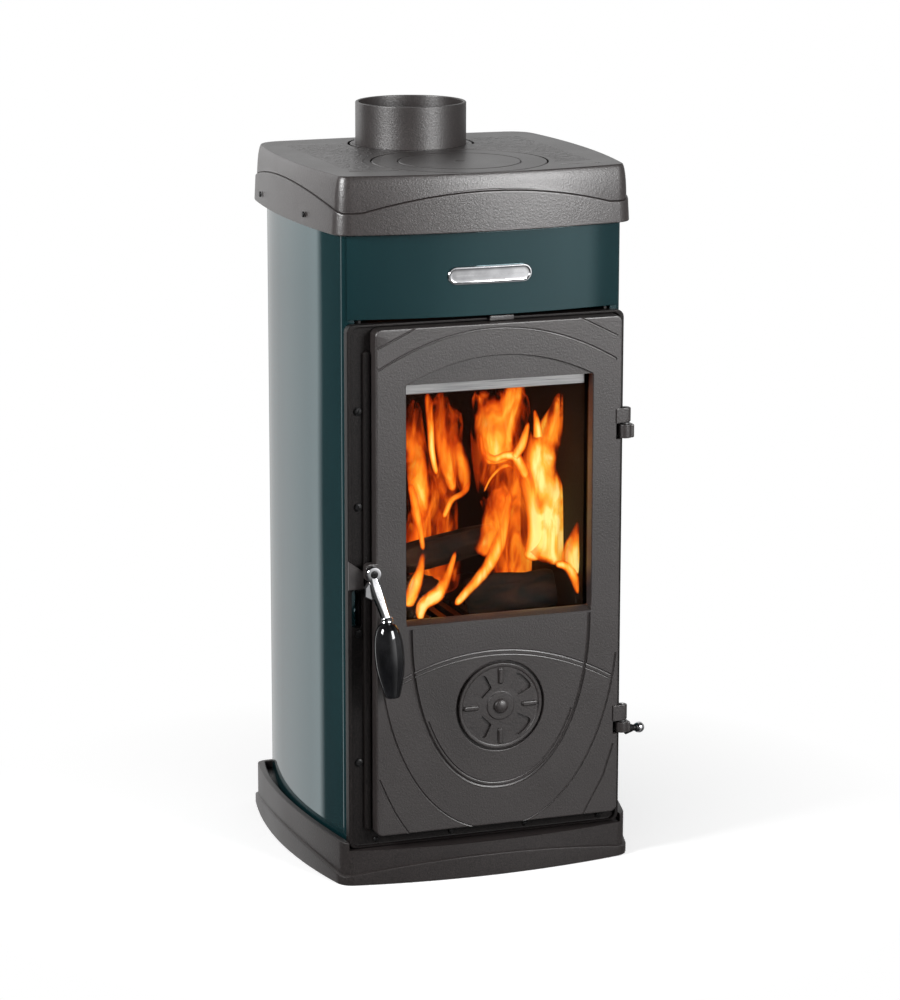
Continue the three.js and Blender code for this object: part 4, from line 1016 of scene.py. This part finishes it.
# %% Fit the glass and its strip
GLASS, STRIP = narrowed(WINDOW, -9), (-106.5, 117.5, 564, 586)
SEAL_WIDTH, ROPE_WIDTH, ROPE_GAP = 8.5, 5, 3.3
glass = inlaid(GLASS, 3, [(0.5, 6.1), (0, 5.6), (0, 2.6), (0.5, 2.1)])
placed(glass, "door_glass", "ground")
strip = inlaid(STRIP, 1, [(0.3, 1.8), (0, 1.5), (0, 0.9), (0.3, 0.45), (0.9, 0.3)])
placed(strip, "air_wash_strip", "rolled")


def u_band(left, right, low, high, inset):
    """The glass seal's outline, a three-sided band that is open at the top, drawn in by inset."""
    a, b = inset, SEAL_WIDTH - inset
    return [(left + a, high), (left + a, low + a), (right - a, low + a), (right - a, high),
            (right - b, high), (right - b, low + b), (left + b, low + b), (left + b, high)]


seal = frontal([(u_band(*GLASS[:3], STRIP[2] - 0.3, inset), y)
                for inset, y in ((1, 1.8), (0.3, 1.5), (0, 1.05), (0.3, 0.6), (1, 0.3))])
placed(seal, "glass_seal", "rope")
gasket = inlaid(narrowed(DOOR, ROPE_GAP), 5,
                [(1.2, 4.7), (0.4, 4.2), (0, 3), (0, 2), (0.4, 0.8), (1.2, 0.3)])
within = inlaid(narrowed(DOOR, ROPE_GAP + ROPE_WIDTH), 2,
                [(-1.2, 5), (-0.4, 4.2), (0, 3), (0, 2), (-0.4, 0.8), (-1.2, 0)])
combined(gasket, [within])
placed(gasket, "door_gasket", "rope")
for side, edge, node in ((-1, GLASS[0], "glass_clip_left"), (1, GLASS[1], "glass_clip_right")):
    fold = [(edge + side * 0.3, 0.3), (edge + side * 4, 0.3), (edge + side * 4, 8.1), (edge - side * 7, 8.1),
            (edge - side * 7, 6.4), (edge + side * 0.3, 6.4)]
    clip = lofted([[at(x, y, z) for x, y in fold] for z in (325.5, 557)])
    softened(clip, 0.35, 2)
    placed(clip, node, "folded")

# %% [markdown]
# ## Air rosette
# A turned disc with a bevelled rim and a sunk field. Four windows are cut on the diagonals and
# four raised ribs, round at both ends, stand between them as finger grips.

# %% Turn the rosette
rosette = spun([(3.4, 0), (50.2, 0), (50.5, 0.4), (50.5, 3), (50.2, 3.7), (49.4, 4.2), (47.2, 4.2),
                (46.2, 3.8), (45.6, 3.1), (17.2, 3), (16.4, 3.4), (15.8, 4.1), (15, 4.2), (3.4, 4.2),
                (3.4, 0)], (ROSETTE_X, -11.3, ROSETTE_Z), "Y", 144)
combined(rosette, [frontal([(air_window((i + 0.5) * math.pi / 2, 0.33), y) for y in (-10.5, -18)])
                   for i in range(4)])


def rosette_rib(turn):
    """A bar from near the hub out to the rim, narrower at its top."""
    def outline(inset):
        corners = rounded(26 + inset, 45.2 - inset, -3 + inset, 3 - inset, 2.9 - inset, 8)
        cosine, sine = math.cos(turn), math.sin(turn)
        return [(ROSETTE_X + x * cosine - z * sine, ROSETTE_Z + x * sine + z * cosine) for x, z in corners]
    return frontal([(outline(inset), y)
                    for inset, y in ((0, -12), (0, -15.6), (0.5, -16.5), (1.2, -17), (2, -17.1))])


combined(rosette, [rosette_rib(i * math.pi / 2) for i in range(4)], "UNION")
placed(rosette, "air_rosette", "turned")
dome = spun([(0, -15.5), (2.9, -15.5), (2.9, 0), (8.2, 0), (8.5, 0.4), (8.4, 1.4), (7.6, 2.6), (6.2, 3.6),
             (4.4, 4.3), (2.2, 4.65), (0, 4.7)], (ROSETTE_X, -15.8, ROSETTE_Z), "Y", 48)
placed(dome, "rosette_screw", "domed")

# %% [markdown]
# ## Handle
# The lever is forged: a flat bar with broad bevels that swings out from the eye and tapers to
# the ferrule. Rings with eight corners are set square to a curved centre line and joined up.
# The grip is a turned barrel, slid on to the same leaning axis.

# %% Forge the lever and turn the grip
GRIP_AT = at(-130.4, -32, 315)
LEAN = Matrix.Rotation(-0.06, 4, "Y") @ Matrix.Rotation(-0.07, 4, "X")


def leaning(piece):
    """Moves a piece turned on the z axis to the leaning axis of the grip."""
    piece.data.transform(Matrix.Translation(GRIP_AT) @ LEAN @ Matrix.Translation(-at(0, 0, 0)))
    return piece


def bar_ring(centre, forwards, half_wide, half_deep, bevel):
    """Eight corners of a bevelled bar, square to the direction forwards."""
    sideways = Vector((1, 0, 0))
    sideways = (sideways - forwards * sideways.dot(forwards)).normalized()
    outwards = forwards.cross(sideways).normalized()
    front_half = [(half_wide, half_deep - bevel), (half_wide - bevel, half_deep),
                  (bevel - half_wide, half_deep), (-half_wide, half_deep - bevel)]
    corners = front_half + [(-a, -b) for a, b in front_half]
    return [centre + (sideways * a + outwards * b) * MM for a, b in corners]


spine = [at(-142.3, -18.6, 363), at(-138.0, -21.8, 345), GRIP_AT + Vector((0, 0, 0.001))]
stations = bend(*spine, 12) + [spine[-1]]
rings = []
for i, centre in enumerate(stations):
    ahead = (stations[min(i + 1, 12)] - stations[max(i - 1, 0)]).normalized()
    share = i / 12
    half_wide = 4.6 + 1.1 * math.sin(math.pi * min(share * 1.25, 1))
    rings.append(bar_ring(centre, ahead, half_wide, 4.6 + 1.2 * share, 2.1))
lever = lofted(rings)
softened(lever, 0.5, 2, 20)
PIVOT = (PIVOT_X, 0, PIVOT_Z)
eye = spun([(0, 15), (8, 15), (8.5, 15.6), (8.5, 22), (7.9, 22.8), (6.6, 23), (0, 23)], PIVOT, "Y", 48)
prong_face = [(PIVOT_X + right, PIVOT_Z + up)
              for right, up in ((2, -4), (-5, -9), (-10, -15), (-10, -26), (-2, -30), (5, -20))]
prong = frontal([(drawn_in(prong_face, inset), y)
                 for inset, y in ((0.7, -15), (0, -15.7), (0, -19.6), (0.9, -20.5))])
ferrule = leaning(spun([(0, -2), (6.2, -2), (6.9, -1.4), (7.6, -0.2), (7.2, 0.9), (7.6, 1.8), (7.6, 2.6),
                        (6.9, 3.6), (6.5, 4.4), (5.6, 5), (0, 5)], (0, 0, 0), "Z", 48))
combined(lever, [eye, prong, ferrule], "UNION")
combined(lever, [rod((PIVOT_X, -12, PIVOT_Z), (PIVOT_X, -32, PIVOT_Z), 4.4, 32)])
placed(lever, "handle_lever", "forged", smooth=24)
barrel = [(0, -88), (5.5, -88), (7.6, -87.5), (8.6, -86.4), (9.1, -84.2), (9.9, -82), (12.5, -72),
          (15.2, -60), (16.5, -51), (16.9, -42), (16.9, -33), (16.3, -25), (15.1, -17), (13, -10),
          (10.6, -5.6), (8.6, -3.4), (7, -2.3), (0, -2.3)]
grip = leaning(spun(barrel, (0, 0, 0), "Z", 64))
softened(grip, 0.4, 2, 18)
placed(grip, "handle_grip", "turned", smooth=60)
bolt = spun([(0, 0.6), (4, 0.6), (4, 23.1), (3.7, 23.9), (2.8, 24.2), (0, 24.2)], PIVOT, "Y", 40)
combined(bolt, [spun([(0, 23.3), (1.7, 23.3), (1.9, 25), (0, 25)], PIVOT, "Y", 6)])
placed(bolt, "handle_pivot_pin", name="handle_pivot_bolt")

# %% [markdown]
# ## Hinges
# Each hinge is two cast lugs and a shouldered pin whose collar shows between them as a bright
# washer. The door's knuckle is cast with a thin leaf that lies on the door's face; the frame's
# is cast with a block that is rounded over towards it.

# %% Cast the hinges
HINGE_X, HINGE_Y = 164, -9


def knuckle(radius, low, high, ease=0.9):
    """An upright barrel round the hinge's axis with eased ends."""
    rings = [(ease, low), (ease * 0.3, low + ease * 0.3), (0, low + ease),
             (0, high - ease), (ease * 0.3, high - ease * 0.3), (ease, high)]
    return lofted([[at(x, y, height) for x, y in circle(HINGE_X, HINGE_Y, radius - inset, 48)]
                   for inset, height in rings])


def hinge_bore(low, high):
    """A tool that bores both lugs of a hinge for its pin."""
    return rod((HINGE_X, HINGE_Y, low - 1), (HINGE_X, HINGE_Y, high + 1), 3.5, 32)


for level, low, split, high in HINGES:
    low_top, high_foot = split - 1.3, split + 1.3
    frame_lug = block((165.4, 173.4), (-14.6, 10.8), (low, low_top))
    softened(frame_lug, 1.6, 3)
    combined(frame_lug, [knuckle(7.8, low, low_top)], "UNION")
    combined(frame_lug, [hinge_bore(low, high)])
    placed(frame_lug, f"frame_hinge_lug_{level}", "cast")
    door_lug = knuckle(6.2, high_foot, high, 1.3)
    leaf = block((150.7, 163), (-15.9, -14.3), (high_foot, high))
    softened(leaf, 0.6, 2)
    combined(door_lug, [leaf], "UNION")
    door_flat = block((167.2, 169.6), (-15.6, -14), (high_foot + 2, high - 2))
    combined(door_lug, [door_flat, hinge_bore(low, high)])
    placed(door_lug, f"door_hinge_lug_{level}", "cast")
    pin = spun([(0, low - 1), (2.5, low - 1), (3, low - 0.5), (3, low_top + 0.3), (4.9, low_top + 0.3),
                (5.2, low_top + 0.6), (5.2, high_foot - 0.6), (4.9, high_foot - 0.3), (3, high_foot - 0.3),
                (3, high + 0.2), (2.6, high + 0.8), (1.6, high + 1), (0, high + 1)],
               (HINGE_X, HINGE_Y, 0), "Z", 40)
    placed(pin, f"hinge_pin_{level}", "turned")

# %% [markdown]
# ## Air controls and lid screws
# The side rod carries its valve plate inside the firebox wall and a chromed ball outside; a cone
# near the ball stops it. The tab over the door slides the top air plate.

# %% Turn the side rod, the ball and the lid screws; cast the tab
def spun_sideways(profile, y, z, steps=40):
    """A profile of (radius, x) pairs spun round an axis that runs from left to right."""
    piece = spun(profile, (0, 0, 0), "Z", steps)
    lying = Matrix.Rotation(math.pi / 2, 4, "Y")
    piece.data.transform(Matrix.Translation(at(0, y, z)) @ lying @ Matrix.Translation(-at(0, 0, 0)))
    return piece


air_rod = spun_sideways([(0, 142.7), (7.2, 142.7), (7.4, 143), (7.4, 144.4), (7.2, 144.7), (3.8, 144.7),
                         (3.8, 180.5), (6.6, 180.5), (7, 181), (6.6, 182.4), (4.6, 189), (3.8, 190.5),
                         (3.8, 192.6), (0, 192.6)], ROD_Y, ROD_Z)
placed(air_rod, "side_air_rod", "turned")
ball = start(bpy.ops.mesh.primitive_uv_sphere_add, segments=48, ring_count=24, radius=6.6 * MM,
             location=at(198, ROD_Y, ROD_Z))
combined(ball, [rod((190, ROD_Y, ROD_Z), (193, ROD_Y, ROD_Z), 4.3, 32)])
placed(ball, "side_air_rod_ball", name="side_air_ball_polished", smooth=60)

tab = inlaid((1, 30, 642.7, 648.4), 1.2, [(0.4, -0.3), (0, -0.8), (0, -3.8), (0.4, -4.7), (1.1, -5)])
shelf = block((7, 24), (-4, 36), (646.4, 648.4))
combined(tab, [shelf], "UNION")
placed(tab, "air_slider", "cast")


for side, word in ((-1, "left"), (1, "right")):
    for y, place in ((92, "front"), (262, "back")):
        near = LID["half"] + LID["bow_side"] * side_arc(LID, y) + 0.8
        head = [(0, near), (3.4, near), (3.4, near + 0.9), (3, near + 1.5), (2, near + 1.8), (0, near + 1.8)]
        screw = spun_sideways(head if side > 0 else [(radius, -x) for radius, x in reversed(head)], y, 758)
        placed(screw, f"lid_screw_{word}_{place}", "turned")

# %% [markdown]
# ## Back of the stove
# A folded tray of sheet steel keeps the heat off the wall. It is drawn as a line round the back
# of the firebox, raised, given its thickness, and then the two rows of slots are punched.

# %% Fold the heat shield
shield_path = ([(-150.1, 306)] + bend((-150.1, 329), (-150.1, 335), (-144, 335), 6) + [(-144, 335)]
               + bend((144, 335), (150.1, 335), (150.1, 329), 6) + [(150.1, 329), (150.1, 306)])
shield = pressed(shield_path, 52, 740, 1.5, (0, 1, 0))
punches = []
for z in (110, 680):
    for i in range(5):
        left = (i - 2) * 52 - 18
        punches.append(inlaid((left, left + 36, z - 4, z + 4), 3.9, [(0, 330), (0, 338)]))
combined(shield, punches)
placed(shield, "rear_heat_shield", "folded")

# %% [markdown]
# ## Logs
# Each log is a split branch: a rough round on the bark side and two flat faces where it was
# split. Rings are set along its length, each a little different, and closed at both ends.

# %% Split the logs
def log(name, low, high, radius, seed):
    """A split log between two points, uneven in a way that its seed fixes."""
    start_point, end_point = at(*low), at(*high)
    along = (end_point - start_point).normalized()
    sideways = along.cross(Vector((0, 0, 1))).normalized()
    upwards = sideways.cross(along).normalized()
    rings = []
    for i in range(25):
        share = i / 24
        centre = start_point.lerp(end_point, share)
        ends = 1 - 0.16 * max(0, 1 - 9 * min(share, 1 - share)) ** 2
        corners = []
        for k in range(40):
            turn = math.tau * k / 40
            bark = 0.045 * math.sin(7 * turn + seed + 5 * share)
            bark += 0.03 * math.sin(13 * turn + 2.1 * seed - 9 * share)
            knots = 0.05 * math.sin(3 * turn + 6.5 * share + seed) * math.sin(math.pi * share)
            split = min(1.0, 0.74 / max(0.2, math.cos(turn - 0.9 - 0.2 * seed)))
            corners.append(centre + (sideways * math.cos(turn) + upwards * math.sin(turn))
                           * radius * ends * (split + bark + knots) * 0.97 * MM)
        rings.append(corners)
    piece = lofted(rings)
    softened(piece, 1.2, 2, 50)
    placed(piece, name, "split", smooth=50)


log("log_right", (8, 92, 299), (108, 62, 312), 24, 0.4)
log("log_left", (-92, 60, 296), (-20, 150, 304), 21, 1.9)
log("log_top", (-62, 128, 344), (46, 96, 372), 19, 3.3)

# %% [markdown]
# ## Flames
# Flames are drawn as they are seen through the window, as points on the plane of the frame, and
# each is then pushed back along the line of sight to its own depth. A flame is a closed tongue,
# lens-shaped across and tapering to both ends. Every corner stores how hot it is: hottest in the
# middle, cold at the edge. Its glow and how much shows through it follow that warmth, and where
# flames lie one behind another their glows add up. Flames at the front light nothing, or the
# sill would shine.

# %% Mix the flame
flame = finish("flame", 1.0)[0]
tree = flame.node_tree
heat = add(tree, "Attribute", attribute_name="warmth").outputs["Fac"]
streaks = noise(flame, 42, detail=4, stretch=(1, 1, 0.34), distortion=1.6)
warmth = worked(tree, "ADD", heat, mapped(tree, streaks, 0.32, 0.68, -0.30, 0.22))
burning = ramp(tree, warmth, [
    (0.08, (0.30, 0.014, 0.001)), (0.25, (0.55, 0.040, 0.002)), (0.42, (0.80, 0.12, 0.006)),
    (0.58, (0.90, 0.24, 0.014)), (0.76, (0.95, 0.46, 0.05)), (0.96, (1.0, 0.78, 0.26))])
COLD, HOT = 0.08, 0.50
glow = fed(tree, "Emission", burning, mapped(tree, warmth, COLD, HOT))
clear = fed(tree, "BsdfTransparent", mapped(tree, warmth, COLD, HOT, 1, 0.3))
tree.links.new(tree.nodes["Material Output"].inputs["Surface"], fed(tree, "AddShader", clear, glow))
print("mixed", flame.name)


# %% Light the fire
def seen_at(x, z, depth):
    """The point at a depth behind the frame's face that the camera sees at x, z on that face."""
    eye_point, spot = camera.matrix_world.translation, at(x, 0, z)
    share = (at(0, depth, 0).y - eye_point.y) / (spot.y - eye_point.y)
    return eye_point.lerp(spot, share)


def between(stations, share):
    """A smooth value along a list of stations."""
    place = share * (len(stations) - 1)
    i = min(int(place), len(stations) - 2)
    t = place - i
    a, b, c, d = (Vector(stations[min(max(k, 0), len(stations) - 1)]) for k in (i - 1, i, i + 1, i + 2))
    return (b * 2 + (c - a) * t + (a * 2 - b * 5 + c * 4 - d) * t * t + (b * 3 - a - c * 3 + d) * t ** 3) / 2


TIP_WARMTH = 0.35
LIGHTING_DEPTH = 100


def tongue(name, depth, warm, stations):
    """A flame through stations of (x, z, half width), at most warm in its middle."""
    rings, warmth_of = [], []
    count = 8 * (len(stations) - 1)
    for i in range(count + 1):
        share = i / count
        x, z, half = between(stations, share)
        after, before = between(stations, min(share + 0.01, 1)), between(stations, max(share - 0.01, 0))
        ahead = (after - before).to_2d().normalized()
        narrow = max(0.03, min(1, share / 0.06, (1 - share) / 0.10))
        half = max(half, 0.6) * narrow ** 0.6
        corners = []
        for k in range(24):
            turn = math.tau * k / 24
            offset = half * math.cos(turn)
            point = seen_at(x + ahead.y * offset, z - ahead.x * offset, depth)
            corners.append(point + Vector((0, half * 0.45 * math.sin(turn) * MM, 0)))
            edge = 1 - abs(math.cos(turn)) ** 2.2
            cooled = 1 - (1 - TIP_WARMTH) * max(0, share - 0.45) / 0.55
            warmth_of.append(warm * edge * cooled * narrow)
        rings.append(corners)
    piece = lofted(rings)
    stored = piece.data.attributes.new("warmth", "FLOAT", "POINT")
    nearest = nearest_of(sum(rings, []))
    for vertex in piece.data.vertices:
        stored.data[vertex.index].value = warmth_of[nearest(vertex.co)]
    alone(piece)
    bpy.ops.object.shade_smooth()
    piece.name = piece.data.name = name
    dressed(piece, flame)
    piece.visible_diffuse = depth > LIGHTING_DEPTH
    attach(piece, "stove_body")


FLAMES = [
    # depth, warmth, stations of (x, z, half width)
    (190, 0.34, [(-60, 330, 30), (-66, 400, 34), (-60, 470, 30), (-50, 560, 22)]),
    (200, 0.46, [(40, 330, 34), (50, 400, 46), (30, 470, 46), (20, 520, 40), (16, 566, 30)]),
    (180, 0.32, [(92, 330, 18), (96, 420, 22), (90, 500, 18), (84, 560, 10)]),
    (150, 0.62, [(-86, 380, 6), (-80, 440, 12), (-84, 500, 14), (-90, 560, 10)]),
    (140, 0.66, [(-40, 450, 4), (-46, 478, 10), (-55, 520, 12), (-53, 566, 12)]),
    (130, 0.60, [(-26, 446, 5), (-30, 476, 11), (-38, 508, 9), (-42, 530, 6)]),
    (135, 0.74, [(12, 478, 18), (10, 505, 24), (4, 535, 22), (-12, 566, 10)]),
    (132, 0.70, [(18, 500, 14), (24, 530, 16), (32, 556, 16), (38, 574, 8)]),
    (120, 0.62, [(96, 400, 10), (92, 440, 16), (88, 480, 14), (84, 520, 8)]),
    (90, 1.00, [(70, 358, 34), (78, 388, 25), (74, 430, 23), (62, 470, 22), (72, 505, 19), (86, 532, 13),
                (97, 570, 7)]),
    (86, 0.92, [(52, 362, 10), (60, 388, 11), (58, 424, 11), (50, 460, 11), (40, 484, 6)]),
    (84, 0.90, [(50, 456, 6), (36, 482, 7), (22, 487, 5), (8, 484, 5), (-4, 494, 5), (-11, 524, 3)]),
    (82, 0.88, [(32, 484, 5), (42, 498, 6), (50, 524, 2)]),
    (80, 0.92, [(62, 505, 7), (60, 520, 5), (57, 538, 2)]),
    (92, 0.66, [(100, 372, 10), (104, 410, 10), (100, 450, 8), (96, 486, 8), (92, 510, 5)]),
    (70, 0.60, [(-8, 372, 10), (6, 400, 18), (14, 428, 18), (20, 452, 10)]),
    (60, 0.84, [(-38, 318, 4), (-22, 334, 6), (0, 358, 8), (16, 388, 9), (24, 420, 6), (28, 452, 3)]),
    (64, 0.66, [(-4, 446, 1), (6, 464, 2), (22, 475, 3), (35, 468, 2), (41, 450, 1)]),
    (62, 0.70, [(-52, 420, 3), (-42, 440, 4), (-28, 448, 4), (-20, 462, 2)]),
    (48, 0.74, [(-60, 470, 3), (-66, 500, 4), (-68, 532, 5), (-70, 566, 5)]),
    (44, 0.80, [(-76, 384, 3), (-80, 412, 5), (-86, 440, 6), (-92, 466, 4)]),
    (34, 0.95, [(-94, 320, 5), (-88, 340, 9), (-80, 360, 6), (-76, 384, 3)]),
    (30, 0.92, [(-80, 304, 4), (-76, 322, 8), (-58, 334, 9), (-46, 356, 5), (-36, 384, 2)]),
    (34, 1.00, [(112, 342, 5), (104, 362, 13), (106, 384, 9), (114, 408, 3)]),
    (32, 0.94, [(84, 356, 4), (98, 352, 6), (108, 336, 6), (114, 318, 4)]),
]
for number, (depth, warm, stations) in enumerate(FLAMES, 1):
    tongue(f"flame_{number:02d}", depth, warm, stations)
print("flames:", len(FLAMES))
